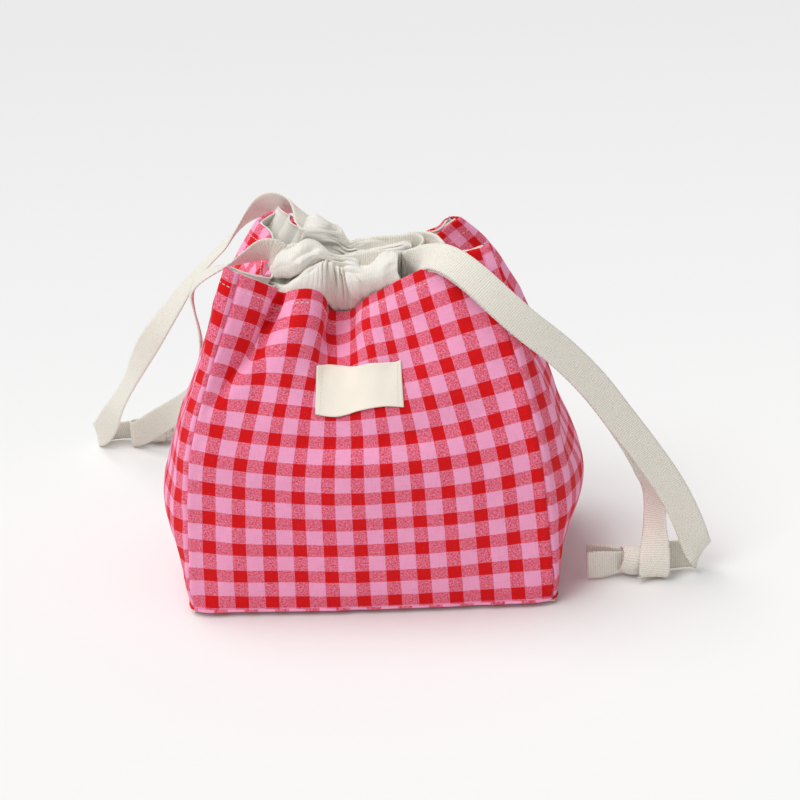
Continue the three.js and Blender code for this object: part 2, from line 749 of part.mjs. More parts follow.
// Topstitching: a line of thread on the outer face, a little below the rim. It
// follows the flat facets of the cloth, between the last two rows of points.
function topstitchGeometry(panel) {
  const height = panel.from.getLength() / panelRows;
  const strip = (lift) =>
    [topstitchDrop + stitchWidth, topstitchDrop].map((drop) => {
      const row = [];
      for (let i = 1; i < panelColumns; i += 1) {
        const across = -1 + (2 * i) / panelColumns;
        const rim = surfacePoint(panel, across, 1);
        const below = surfacePoint(panel, across, 1 - 1 / panelRows);
        const point = rim.lerp(below, drop / height);
        row.push(point.addScaledVector(surfaceNormal(panel, across, 1), lift));
      }
      return row;
    });
  return slabGeometry(strip(stitchLift + stitchHeight), strip(stitchLift));
}

addPart('front_topstitch', topstitchGeometry(panels.front), thread);
addPart('back_topstitch', topstitchGeometry(panels.back), thread);
addPart('left_topstitch', topstitchGeometry(panels.left), thread);
addPart('right_topstitch', topstitchGeometry(panels.right), thread);

export default object;
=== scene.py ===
import math

import bpy
import numpy as np
from mathutils import Matrix, Vector


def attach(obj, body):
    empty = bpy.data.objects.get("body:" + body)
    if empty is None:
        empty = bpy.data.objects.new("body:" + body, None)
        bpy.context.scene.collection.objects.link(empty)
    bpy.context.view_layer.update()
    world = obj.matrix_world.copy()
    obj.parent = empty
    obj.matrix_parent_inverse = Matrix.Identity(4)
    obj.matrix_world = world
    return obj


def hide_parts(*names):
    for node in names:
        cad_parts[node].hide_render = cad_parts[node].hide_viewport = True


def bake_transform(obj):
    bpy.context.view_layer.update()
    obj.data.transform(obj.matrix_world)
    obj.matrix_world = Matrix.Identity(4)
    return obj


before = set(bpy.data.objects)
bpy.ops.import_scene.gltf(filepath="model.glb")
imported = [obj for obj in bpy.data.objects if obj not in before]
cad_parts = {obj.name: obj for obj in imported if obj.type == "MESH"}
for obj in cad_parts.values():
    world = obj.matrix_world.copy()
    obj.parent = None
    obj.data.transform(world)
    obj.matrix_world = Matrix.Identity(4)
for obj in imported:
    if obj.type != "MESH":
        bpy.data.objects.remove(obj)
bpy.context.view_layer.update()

# The studio camera. The picture was taken from a little above the bag and
# slightly to its right, with a long lens held at a small tilt.
camera_elevation = math.radians(21.1)
camera_turn = math.radians(2.8)
camera_tilt = math.radians(3.0)
camera_distance = 1.325
camera_target = Vector((0.021, 0.0, 0.114))
focal_pixels = 1985.0
picture_pixels = 800.0

towards_camera = Vector((
    math.sin(camera_turn) * math.cos(camera_elevation),
    -math.cos(camera_turn) * math.cos(camera_elevation),
    math.sin(camera_elevation),
))
level_right = Vector((0, 0, 1)).cross(towards_camera).normalized()
level_up = towards_camera.cross(level_right)
tilted_right = level_right * math.cos(camera_tilt) - level_up * math.sin(camera_tilt)
tilted_up = level_right * math.sin(camera_tilt) + level_up * math.cos(camera_tilt)

camera_data = bpy.data.cameras.new("studio_camera")
camera_data.sensor_width = 36.0
camera_data.lens = focal_pixels * camera_data.sensor_width / picture_pixels
camera_data.clip_start = 0.05
camera_data.clip_end = 50.0
camera = bpy.data.objects.new("studio_camera", camera_data)
bpy.context.scene.collection.objects.link(camera)
camera.matrix_world = Matrix((
    (tilted_right.x, tilted_up.x, towards_camera.x, 0),
    (tilted_right.y, tilted_up.y, towards_camera.y, 0),
    (tilted_right.z, tilted_up.z, towards_camera.z, 0),
    (0, 0, 0, 1),
))
camera.location = camera_target + towards_camera * camera_distance
bpy.context.scene.camera = camera


# The right drawstring's free strands. Undyed cotton webbing, 20 mm wide and
# 1.5 mm thick, woven with ribs across it. Both strands leave the casings on the
# right, lie over the front rim, hang beside the bag and turn to one knot.
MM = 0.001
strap_width = 20 * MM
strap_thickness = 1.5 * MM
rib_spacing = 1.5
warp_spacing = 1.05


def unit(v):
    return v / np.maximum(np.linalg.norm(v, axis=-1, keepdims=True), 1e-12)


def smooth_rows(rows, steps):
    """A centripetal Catmull-Rom curve through rows of numbers, the first three
    of which are a place, cut into even steps of its length."""
    rows = np.array(rows, float)
    rows = np.vstack([2 * rows[0] - rows[1], rows, 2 * rows[-1] - rows[-2]])
    fine = []
    for k in range(len(rows) - 3):
        p = rows[k:k + 4]
        t = np.cumsum([0.0] + [np.linalg.norm(p[i + 1, :3] - p[i, :3]) ** 0.5 for i in range(3)])
        for s in np.linspace(t[1], t[2], 24, endpoint=False):
            a = [((t[i + 1] - s) * p[i] + (s - t[i]) * p[i + 1]) / (t[i + 1] - t[i]) for i in range(3)]
            b = [((t[i + 2] - s) * a[i] + (s - t[i]) * a[i + 1]) / (t[i + 2] - t[i]) for i in range(2)]
            fine.append(((t[2] - s) * b[0] + (s - t[1]) * b[1]) / (t[2] - t[1]))
    fine = np.array(fine + [rows[-2]])
    run = np.cumsum(np.r_[0.0, np.linalg.norm(np.diff(fine[:, :3], axis=0), axis=1)])
    even = np.linspace(0, run[-1], steps + 1)
    return np.stack([np.interp(even, run, column) for column in fine.T], axis=1)


def make_piece(name, points, faces, corner_uvs, body, slot, replaced=()):
    """A mesh in millimetres, smooth, with its cloth's own coordinates in
    millimetres, riding on a body and standing for CAD nodes."""
    mesh = bpy.data.meshes.new(name)
    mesh.from_pydata((np.asarray(points) * MM).tolist(), [], faces)
    mesh.uv_layers.new(name="cloth").data.foreach_set("uv", np.asarray(corner_uvs, np.float32).ravel())
    mesh.polygons.foreach_set("use_smooth", [True] * len(mesh.polygons))
    mesh.update()
    piece = bpy.data.objects.new(name, mesh)
    bpy.context.scene.collection.objects.link(piece)
    if body:
        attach(piece, body)
    if replaced:
        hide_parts(*replaced)
    return piece


def quads(rows, sides):
    """The faces between rows of points that run round: each one's row and
    column, and its corners, which are here, beside, above beside and above."""
    for k in range(rows - 1):
        for i in range(sides):
            j = (i + 1) % sides
            yield k, i, (k * sides + i, k * sides + j, (k + 1) * sides + j, (k + 1) * sides + i)


def strap_outline():
    """Across and through the strap, once round: two flat faces whose last
    tenth thins towards the selvedge."""
    outline = []
    for face in (1, -1):
        for a in np.linspace(face, -face, 15):
            thin = 1 - 0.45 * max(0.0, (abs(a) - 0.88) / 0.12) ** 2
            outline.append((a * strap_width / 2, face * strap_thickness / 2 * thin))
    return np.array(outline) / MM


def strap_mesh(route, step=1.5):
    """Points, faces and cloth coordinates of a strap along a route of rows
    [x, y, z, face x, face y, face z, (width)], and the line that it follows."""
    rows = [list(r[:6]) + [r[6] if len(r) > 6 else strap_width / MM] for r in route]
    length = sum(math.dist(a[:3], b[:3]) for a, b in zip(rows, rows[1:]))
    rows = smooth_rows(rows, int(length / step))
    line = rows[:, :3]
    tangent = unit(np.gradient(line, axis=0))
    face = rows[:, 3:6]
    face = unit(face - tangent * np.sum(face * tangent, axis=1, keepdims=True))
    side = np.cross(tangent, face)
    run = np.cumsum(np.r_[0.0, np.linalg.norm(np.diff(line, axis=0), axis=1)])
    outline = strap_outline()
    sides = len(outline)
    points = []
    for k, row in enumerate(rows):
        share = row[6] * MM / strap_width
        points.append(line[k] + np.outer(outline[:, 0] * share, side[k]) + np.outer(outline[:, 1], face[k]))
    points = np.concatenate(points)
    faces, uvs = [], []
    for k, i, (a, b, c, d) in quads(len(line), sides):
        faces.append([a, d, c, b])
        near, far = outline[i, 0], outline[(i + 1) % sides, 0]
        uvs += [(run[k], near), (run[k + 1], near), (run[k + 1], far), (run[k], far)]
    for k, order in ((0, range(sides)), (len(line) - 1, range(sides - 1, -1, -1))):
        faces.append([k * sides + i for i in order])
        uvs += [(run[k], outline[i, 0]) for i in order]
    return points, faces, uvs, line


def feed(nodes, socket, value):
    """Link another node's value to an input, or set the input to a plain one."""
    if isinstance(value, bpy.types.NodeSocket):
        nodes.id_data.links.new(value, socket)
    else:
        socket.default_value = value


def wire(nodes, kind, **settings):
    """A shader node with its settings made, and its inputs fed by number."""
    node = nodes.new(kind)
    for key, value in settings.items():
        if key.startswith("in"):
            feed(nodes, node.inputs[int(key[2:])], value)
        else:
            setattr(node, key, value)
    return node


def sum_of(nodes, operation, a, b=0.0, c=0.0):
    """The result of one sum on numbers or other nodes' values."""
    node = wire(nodes, "ShaderNodeMath", operation=operation, in0=a, in1=b)
    if operation == "MULTIPLY_ADD":
        feed(nodes, node.inputs[2], c)
    return node.outputs[0]


def tinted(nodes, share, low, high):
    """A colour between two colours, by a share from 0 to 1."""
    mix = wire(nodes, "ShaderNodeMix", data_type="RGBA", clamp_factor=True, in0=share, in6=low, in7=high)
    return mix.outputs[2]


def colour(red, green, blue):
    """A colour given as it looks on a screen, from 0 to 255."""
    def plain(c):
        c /= 255
        return c / 12.92 if c <= 0.04045 else ((c + 0.055) / 1.055) ** 2.4
    return (plain(red), plain(green), plain(blue), 1.0)


def cloth_material(name, roughness, sheen):
    """A matt cloth shader, and its cloth coordinates along and across."""
    material = bpy.data.materials.new(name)
    material.use_nodes = True
    nodes = material.node_tree.nodes
    shader = nodes["Principled BSDF"]
    shader.inputs["Roughness"].default_value = roughness
    shader.inputs["Specular IOR Level"].default_value = 0.2
    shader.inputs["Sheen Weight"].default_value = sheen
    shader.inputs["Sheen Roughness"].default_value = 0.5
    place = wire(nodes, "ShaderNodeUVMap", uv_map="cloth").outputs[0]
    parts = wire(nodes, "ShaderNodeSeparateXYZ", in0=place)
    return material, nodes, shader, place, parts.outputs[0], parts.outputs[1]


def thread_knuckles(nodes, along, across, along_step, across_step):
    """Height from 0 to 1 of a plain weave: knuckles of thread in rows, each row
    half a step off the last."""
    row = sum_of(nodes, "DIVIDE", along, along_step)
    odd = sum_of(nodes, "MULTIPLY", sum_of(nodes, "FLOORED_MODULO", sum_of(nodes, "FLOOR", row), 2.0), 0.5)
    column = sum_of(nodes, "ADD", sum_of(nodes, "DIVIDE", across, across_step), odd)
    waves = []
    for value in (row, column):
        turn = sum_of(nodes, "MULTIPLY", sum_of(nodes, "FRACT", value), math.pi)
        waves.append(sum_of(nodes, "SINE", turn))
    return sum_of(nodes, "POWER", sum_of(nodes, "MULTIPLY", waves[0], waves[1]), 0.6)


def speckle(nodes, place, scale, low, high, detail=2.0):
    """Noise in the cloth's own coordinates, stretched to 0 to 1 between two levels."""
    noise = wire(nodes, "ShaderNodeTexNoise", in0=place, in2=scale, in3=detail)
    level = wire(nodes, "ShaderNodeMapRange", in0=noise.outputs[0], in1=low, in2=high)
    return level.outputs[0]


def flecked(nodes, place, base, fleck, amount, scale, low, high, detail=2.0):
    """A cloth's colour with small flecks of another colour in it."""
    share = sum_of(nodes, "MULTIPLY", speckle(nodes, place, scale, low, high, detail), amount)
    return tinted(nodes, share, base, fleck)


def blotches_and_painted_weave_shade(nodes, place, weave, scale, blotched, weave_shade_share):
    """How light a plain cloth is: soft blotches of real tone, and lighter where a thread stands up, which
    paints shade between the threads and a highlight on their tops.
    """
    blotches = speckle(nodes, place, scale, 0.3, 0.7)
    return sum_of(nodes, "MULTIPLY_ADD", blotches, blotched, sum_of(nodes, "MULTIPLY", weave, weave_shade_share))


def raise_threads(nodes, shader, height, distance):
    """Let the light see the threads' height, which is distance at most."""
    bump = wire(nodes, "ShaderNodeBump", in0=1.0, in1=distance)
    nodes.id_data.links.new(height, bump.inputs["Height"])
    nodes.id_data.links.new(bump.outputs[0], shader.inputs["Normal"])


webbing_pale = colour(255, 252, 243)
webbing_dark_and_gap_shade = colour(222, 213, 197)
webbing_fleck = colour(176, 164, 142)

webbing, nodes, shader, place, along, across = cloth_material("cotton_webbing", 0.85, 0.1)
ribs = thread_knuckles(nodes, along, across, rib_spacing, warp_spacing)
# The webbing's tone mixes random blotches with painted shade between the ribs, taken from the weave's
# height; its darker colour is partly painted shade.
tone = blotches_and_painted_weave_shade(nodes, place, ribs, 0.8, 0.15, 0.95)
plain_webbing = tinted(nodes, tone, webbing_dark_and_gap_shade, webbing_pale)
webbing_colour = flecked(nodes, place, plain_webbing, webbing_fleck, 0.8, 1.3, 0.62, 0.7)
nodes.id_data.links.new(webbing_colour, shader.inputs["Base Color"])
raise_threads(nodes, shader, ribs, 0.27 * MM)

right_front_route = [
    [27.2, -14, 211, 0, -1, 0],
    [30.5, -14, 211, 0, -1, 0],
    [37.5, -21, 216, -0.5, -0.75, 0.4],
    [44, -32, 222.5, -0.44, -0.55, 0.7],
    [52, -42, 225.5, -0.35, -0.5, 0.78],
    [62, -51, 223.5, -0.05, -0.7, 0.7],
    [74, -59, 216, 0.15, -0.85, 0.5],
    [88, -65, 203.5, 0.25, -0.9, 0.35],
    [104, -67, 188, 0.25, -0.94, 0.25],
    [126, -63, 167, 0.25, -0.94, 0.2],
    [146, -57, 143, 0.25, -0.95, 0.2],
    [164, -52, 116, 0.25, -0.95, 0.15],
    [181, -48, 90, 0.25, -0.95, 0.15],
    [197, -45, 63, 0.25, -0.96, 0.1],
    [208, -43, 38, 0.2, -0.97, 0],
    [213.5, -42, 21, 0.25, -0.95, -0.1],
    [216.5, -40, 13.5, 0.75, -0.5, -0.4],
    [216, -36.5, 11.5, 0.9, 0.1, -0.4],
    [211, -34.5, 11, 0.35, 0.93, 0],
    [200, -35.5, 11, 0, 1, 0],
    [188, -38, 11, -0.1, 1, 0],
    [179.5, -39.5, 11, -0.1, 1, 0],
]
right_back_route = [
    [33.5, 17, 215, 0, -1, 0],
    [37.5, 17, 215, 0, -1, 0],
    [44, 13.5, 215.8, -0.8, -0.7, 0],
    [48.5, 4, 216.5, -1, 0, 0.1],
    [50, -8, 217, -0.9, 0, 0.35],
    [50, -21.5, 218.3, -0.65, -0.35, 0.68],
    [50, -35, 222, -0.4, -0.52, 0.74],
    [55, -42.8, 223.4, -0.28, -0.56, 0.77],
    [62.1, -49.1, 221.6, -0.05, -0.7, 0.7],
    [73.6, -56.8, 214.6, 0.15, -0.85, 0.5],
    [87.3, -62.6, 202.5, 0.25, -0.9, 0.35],
    [103.3, -64.4, 187.3, 0.25, -0.94, 0.25],
    [125.3, -60.4, 166.4, 0.25, -0.94, 0.2],
    [145.3, -54.4, 142.4, 0.25, -0.95, 0.2],
    [162.8, -49, 116, 0.25, -0.95, 0.15],
    [176.5, -43.5, 91, 0.2, -0.97, 0.1],
    [183.5, -38.5, 74, -0.15, -0.97, 0.1],
    [186.5, -36, 60, -0.6, -0.75, 0],
    [187, -36.5, 48, -0.75, -0.65, 0],
    [186.5, -40, 36, -0.7, -0.7, 0],
    [186, -46.5, 25, -0.45, -0.9, 0],
    [185.5, -52, 14, -0.15, -1, 0],
    [185, -53, 7.5, -0.1, -0.9, -0.4],
    [184, -51.5, 3.4, -0.1, -0.4, -0.9],
    [182, -48.5, 2.8, -0.1, 0, -1],
]


def free_strand(name, route, node):
    """A free strand of webbing along its route, baked into place in the
    scene and standing for its CAD node."""
    points, faces, uvs, line = strap_mesh(route)
    strand = make_piece(name, points, faces, uvs, None, "webbing", [node])
    strand.data.materials.append(webbing)
    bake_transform(strand)


# The right knot. The two ends of the strap are tied in an overhand knot, and
# the two tails stand on edge beside it.
def wrap_band(centre, tilt, radii, width, turn, swell):
    """One wrap of webbing round the knot: a closed band, slightly crowned."""
    rings, sides = 72, 12
    points, uvs, faces = [], [], []
    rotation = np.array(Matrix.Rotation(tilt, 3, "Y") @ Matrix.Rotation(turn, 3, "Z"))
    girth = math.pi * (radii[0] + radii[1])
    for k in range(rings):
        a = 2 * math.pi * k / rings
        for i in range(sides):
            b = 2 * math.pi * i / sides
            across = math.cos(b) * width / 2
            lift = math.sin(b) * strap_thickness / MM / 2 + swell * (1 - (across / (width / 2)) ** 2)
            r0, r1 = radii[0] + lift, radii[1] + lift
            points.append(rotation @ np.array([across, r0 * math.cos(a), r1 * math.sin(a)]) + centre)
    for k, i, corners in quads(rings + 1, sides):
        faces.append([n % (rings * sides) for n in corners])
        u0, u1 = girth * k / rings, girth * (k + 1) / rings
        v0, v1 = [math.cos(2 * math.pi * n / sides) * width / 2 for n in (i, (i + 1) % sides)]
        uvs += [(u0, v0), (u0, v1), (u1, v1), (u1, v0)]
    return np.array(points), faces, uvs


def joined(parts):
    """Several closed parts as the points, faces and coordinates of one piece."""
    points, faces, uvs, count = [], [], [], 0
    for p, f, c in parts:
        points.append(np.asarray(p))
        faces += [[i + count for i in face] for face in f]
        uvs += list(c)
        count += len(p)
    return np.concatenate(points), faces, uvs


def tied_knot(name, centre, tail, body, node):
    """The knot at centre, with its tails towards tail (1 or -1) along X."""
    centre = np.array(centre, float)
    wraps = []
    for shift, tilt, radii, width, turn, swell in (
        ((-1.5 * tail, 0, 0), 8, (7.4, 8.4), 12.5, 0, 0.9),
        ((1.0 * tail, 0.5, 0.3), -16 * tail, (6.4, 7.4), 14, 14, 1.2),
        ((-3.4 * tail, -0.5, -0.6), 24 * tail, (5.4, 6.8), 11, -10, 0.8),
    ):
        wraps.append(wrap_band(centre + shift, math.radians(tilt), radii, width, math.radians(turn), swell))
    tails = []
    x, y, z = centre
    for spread, lift in ((1, 0.6), (-1, -0.4)):
        route = [
            [x - 3 * tail, y + spread, z, 0, 1, 0, 13],
            [x + 2 * tail, y + spread * 1.4, z, 0, 1, 0, 14],
            [x + 7 * tail, y + spread * 2.0, z + lift * 0.3, 0, 1, 0.05, 15.5],
            [x + 13 * tail, y + spread * 3.4, z + lift, 0.1 * spread, 1, 0.08, 18],
            [x + 20 * tail, y + spread * 4.6, z + lift, 0.05 * spread, 1, 0.05 * spread, 19],
            [x + 29 * tail, y + spread * 5.2, z + lift, 0, 1, 0, 19],
        ]
        points, faces, uvs, _ = strap_mesh(route)
        tails.append((points, faces, uvs))
    points, faces, uvs = joined(wraps + tails)
    knot = make_piece(name, points, faces, uvs, body, "webbing", [node])
    knot.data.materials.append(webbing)
    return knot


right_knot = tied_knot("right_knot_tied", (170.4, -41.5, 10.6), -1, "right_loop", "right_knot")
free_strand("right_strand_over_rim", right_front_route, "right_strand_front")
free_strand("right_strand_behind", right_back_route, "right_strand_back")

# The left drawstring's free strands and their knot. The same webbing. They
# leave on the left, cross over the folded side, and lie behind the bag's left.
left_front_route = [
    [-45.6, -7.5, 217, 0, 1, 0],
    [-49.5, -7.5, 217, 0, 1, 0],
    [-53.5, -6.5, 220, 0.05, 0.95, 0.15],
    [-58, -4.5, 222.8, 0, 0.88, 0.4],
    [-65, -3.5, 222.2, -0.15, 0.78, 0.6],
    [-74.5, -5.5, 218.6, -0.3, 0.55, 0.78],
    [-83.5, -6.5, 214.5, -0.38, 0.3, 0.88],
    [-93, -4.5, 210.5, -0.48, 0.12, 0.87],
    [-102, 0.5, 205.5, -0.64, 0, 0.76],
    [-109, 7, 198.8, -0.78, -0.1, 0.6],
    [-113.2, 14, 190.5, -0.88, -0.3, 0.35],
    [-115.5, 23, 179, -0.9, -0.38, 0.1],
    [-116, 35, 165, -0.92, -0.35, 0],
    [-117.5, 52, 147, -0.96, -0.22, 0.05],
    [-121, 73, 127, -0.95, -0.1, 0.22],
    [-127, 97, 105, -0.9, -0.1, 0.35],
    [-133.5, 121, 86, -0.85, -0.2, 0.4],
    [-141, 144, 69, -0.75, -0.4, 0.45],
    [-150, 166, 53.5, -0.6, -0.6, 0.4],
    [-159.5, 182, 42, -0.4, -0.8, 0.35],
    [-171, 195, 31.5, -0.25, -0.93, 0.25],
    [-184, 204, 21.5, -0.15, -0.98, 0.1],
    [-194, 208.8, 13.8, -0.2, -0.98, 0],
    [-201, 211.4, 11.2, -0.6, -0.8, 0],
    [-203.5, 215, 11, -1, 0, 0],
    [-201.8, 218.4, 11, -0.65, 0.75, 0],
    [-197, 219.8, 11, -0.1, 1, 0],
    [-189.5, 219.8, 11, 0, 1, 0],
]
left_back_route = [
    [-29.3, 14, 221.2, 0, -1, 0],
    [-32.4, 13.8, 221.2, 0, -1, 0],
    [-35.6, 13.6, 221.3, -0.25, -1, 0],
    [-38.4, 16, 221.5, -0.85, -0.55, -0.05],
    [-39.2, 21.5, 222.6, -1, 0.1, -0.15],
    [-38, 28, 224, -0.85, 0.3, -0.45],
    [-36.8, 35, 226, -0.6, 0.2, -0.75],
    [-37.2, 43, 228.4, -0.5, 0.05, -0.85],
    [-40.2, 51.5, 231, -0.6, -0.1, -0.75],
    [-46.4, 61, 233.2, -0.68, -0.35, -0.62],
    [-55.3, 70, 233.8, -0.66, -0.5, -0.56],
    [-64.5, 78.5, 230.5, -0.5, -0.62, -0.6],
    [-74, 87, 223.5, 0.1, -0.55, -0.8],
    [-86.8, 95, 211.6, 0.6, -0.2, -0.77],
    [-98.5, 102.5, 198.8, 0.75, 0.08, -0.66],
    [-111, 108.5, 186, 0.74, 0.11, -0.66],
    [-124.5, 114, 171.5, 0.79, 0.22, -0.58],
    [-140.5, 121.5, 150.8, 0.79, 0.45, -0.41],
    [-155, 130, 131, 0.74, 0.63, -0.23],
    [-168.8, 140, 111.8, 0.67, 0.74, -0.03],
    [-181.2, 152, 91.5, 0.78, 0.62, -0.08],
    [-193.3, 166, 69, 0.88, 0.42, -0.21],
    [-204.5, 180, 49.5, 0.85, 0.5, -0.14],
    [-214.5, 192, 32.5, 0.68, 0.72, 0.12],
    [-222.5, 203, 19.5, 0.66, 0.72, 0.2],
    [-229, 212, 12, 0.8, 0.6, 0.2],
    [-231, 217.5, 10.4, 1, 0.05, 0.1],
    [-228.5, 222.3, 9.8, 0.7, -0.65, -0.25],
    [-222, 224.6, 9.5, 0.15, -0.9, -0.4],
    [-212, 225.2, 9.5, 0, -0.88, -0.47],
    [-202, 224.8, 10, 0, -0.93, -0.35],
    [-190, 223.4, 11, 0, -1, -0.1],
]
left_knot = tied_knot("left_knot_tied", (-180.4, 221.5, 10.6), 1, "left_loop", "left_knot")
free_strand("left_strand_over_side", left_front_route, "left_strand_front")
free_strand("left_strand_over_back", left_back_route, "left_strand_back")

# The outer bag. Cotton gingham with 10 mm red and pink stripes, cut as a front,
# a back and two side gussets and sewn with turned seams. The mouth is drawn in
# until the rim folds, and the four corners stand up as points.
check_repeat = 20.0
front_width, gusset_width = 240.0, 160.0
base_seam_height = 4.4
cloth_up = 232.0
wall_run = 238.0
up_steps = 150


def smooth_step(low, high, x):
    """From 0 at low to 1 at high, level at both."""
    t = np.clip((x - low) / (high - low), 0, 1)
    return t * t * (3 - 2 * t)


def through(marks, query):
    """Smooth values at the queries, through rows of [place, value, value ...]."""
    marks = np.array(marks, float)
    at, values = marks[:, 0], marks[:, 1:]
    gaps = np.diff(at)[:, None]
    slopes = np.diff(values, axis=0) / gaps
    between = (slopes[:-1] * gaps[1:] + slopes[1:] * gaps[:-1]) / (gaps[1:] + gaps[:-1])
    ends = np.vstack([slopes[:1], between, slopes[-1:]])
    i = np.clip(np.searchsorted(at, query, side="right") - 1, 0, len(at) - 2)
    h = gaps[i]
    t = ((query - at[i])[:, None]) / h
    return (
        (2 * t**3 - 3 * t**2 + 1) * values[i] + (t**3 - 2 * t**2 + t) * h * ends[i]
        + (3 * t**2 - 2 * t**3) * values[i + 1] + (t**3 - t**2) * h * ends[i + 1]
    )


def waves(u, v, count, shortest, longest, seed):
    """Soft irregular undulation over a cloth, about -1 to 1."""
    draw = np.random.default_rng(seed)
    total = np.zeros(np.broadcast(u, v).shape)
    for _ in range(count):
        turn, length = draw.uniform(0, math.pi), draw.uniform(shortest, longest)
        phase = draw.uniform(0, 2 * math.pi)
        total += np.sin(2 * math.pi * (u * math.cos(turn) + v * math.sin(turn)) / length + phase)
    return total / math.sqrt(count)


def bag_seam(side, end):
    """A corner seam from the floor up to its point; side and end are 1 or -1."""
    ear, reach, foot_at = (82, 46, -83) if end < 0 else (58, 37 if side > 0 else 68, 79)
    return smooth_rows([
        (side * 120, foot_at, 0), (side * 115, end * 82, 82), (side * 111, end * 79, 116),
        (side * 97, end * 63, 176), (side * ear, end * reach, 229),
    ], up_steps)


def wall_middle(end):
    """The line up the middle of the front (-1) or the back (1)."""
    rim, foot_at = ((-9, -26, 189), -86) if end < 0 else ((-9, 28, 202), 81)
    return smooth_rows([
        (0, foot_at, 0), (0, end * 91, 62), (0, end * 87, 116), (-4.5, end * 63, 162), rim,
    ], up_steps)


def side_middle(side):
    """The line up the middle of the left (-1) or the right (1) gusset."""
    return smooth_rows([
        (side * 120, 0, 0), (side * 141, 0, 62), (side * 131, 0, 100.5), (side * 103, 0, 162),
        (side * 58, 0, 207),
    ], up_steps)


def cloth_columns(width):
    """Places across a wall: close beside its two seams, then even."""
    edge = np.array([0, 0.5, 1.1, 1.9, 3.0, 4.4])
    inner = np.linspace(6.2, width - 6.2, round((width - 12.4) / 1.75) + 1)
    return np.r_[edge, inner, width - edge[::-1]]


# Each wall runs from its first seam to its second, anticlockwise from above.
# Its rim holds rows of [cloth from the first seam, x, y, z]; red is where the
# first red stripe's middle lies, along the width and up from the base seam.
corner = {"fl": bag_seam(-1, -1), "fr": bag_seam(1, -1), "br": bag_seam(1, 1), "bl": bag_seam(-1, 1)}
walls = [
    dict(
        name="front", width=front_width, seams=("fl", "fr"), middle=wall_middle(-1), red=(15.4, 6.0),
        rim=[
            [0, -74, -45.5, 218.8], [8, -67, -44, 215.2], [15.4, -60.3, -42, 211.6],
            [24, -53.2, -39.5, 207.2],
            [30, -49.2, -38.3, 204.5], [34, -47.8, -33.5, 203.2], [37.5, -45.6, -33, 203.1],
            [42, -43.5, -37.5, 204.8],
            [48, -39, -39.3, 206.2], [55.4, -33.2, -39, 205.9], [64, -27, -36.8, 203.6],
            [72, -22.9, -33, 199.2],
            [80, -21, -28, 193.2], [88, -20.2, -23.5, 188.3], [95.4, -19, -20.5, 185.6],
            [104, -12.5, -18.2, 184],
            [115.4, -5.2, -20.5, 185.5], [124, -1.5, -25, 190], [135.4, 3.8, -30.5, 195.8],
            [155.4, 13.5, -33.7, 201.7],
            [175.4, 24.5, -36.8, 208], [195.4, 38.5, -40, 215], [215.4, 56.5, -43.4, 223.2],
            [235.4, 73.8, -45.3, 229], [240, 78, -46, 230],
        ],
    ),
    dict(
        name="right", width=gusset_width, seams=("fr", "br"), middle=side_middle(1), red=(12.5, 8.6),
        rim=[
            [0, 78, -46, 230], [5.5, 82.5, -45.5, 231.8], [10, 85.4, -43.4, 232.6],
            [15, 84.2, -39.5, 231.4],
            [30, 77, -30, 226.5], [47, 67.5, -17, 221], [64, 55, -4, 216.5], [81, 44, 6.5, 213.2],
            [89.5, 40.5, 11.5, 212.5],
            [97, 43, 15.5, 214], [112, 51.5, 21.5, 220], [130, 61.5, 25.5, 226.5],
            [139.5, 65.8, 27.5, 228.8],
            [146, 66.5, 31.2, 229.4], [152.5, 63.5, 34.8, 229], [160, 59, 37, 228],
        ],
    ),
    dict(
        name="back", width=front_width, seams=("br", "bl"), middle=wall_middle(1), red=(5, 9.8),
        rim=[
            [0, 59, 37, 228], [12, 53, 33, 225.5], [28, 45, 27.5, 221.5], [44, 36, 23.5, 217.5],
            [60, 28, 24.5, 213.5],
            [76, 20, 25.5, 210], [92, 12, 25, 207.2], [108, 3, 23.5, 205.3], [124, -6, 23.2, 204.8],
            [140, -14, 25.2, 206.4], [156, -21.5, 27.8, 211], [172, -29.5, 30.6, 216],
            [188, -36, 37, 219.3],
            [204, -42.3, 47.2, 222.5], [220, -48.4, 57.2, 226], [232, -53.6, 65.4, 228],
            [240, -57, 71, 228],
        ],
    ),
    dict(
        name="left", width=gusset_width, seams=("bl", "fl"), middle=side_middle(-1), red=(152.6, 17.4),
        rim=[
            [0, -57, 71, 228], [8.5, -64.3, 66.5, 228.3], [15.5, -70, 60.5, 227], [21.5, -72.6, 54, 226],
            [27.5, -70.3, 47, 225.4], [36.5, -66, 39, 224.6], [46, -62.5, 31, 222.8],
            [55.5, -61, 22.5, 219.8],
            [65, -60, 14, 216], [74.5, -60, 5.5, 213], [84.5, -60, -3, 211.5], [94, -59.8, -11.5, 211.3],
            [103.5, -59.5, -20, 211.6], [113, -60.5, -28, 212.6], [122.5, -65.5, -33.5, 214.6],
            [133.5, -73.5, -36.6, 218.2],
            [143, -81, -39, 222], [148.5, -83.2, -42, 223.3], [153, -80.6, -44.6, 221.8],
            [160, -74, -45.5, 218.8],
        ],
    ),
]
up = np.linspace(0, 1, up_steps + 1)
fold_in = smooth_step(0.45, 1, up)[:, None]
rows, rims, places, wall_of, wall_ends = [], [], [], [], [0]
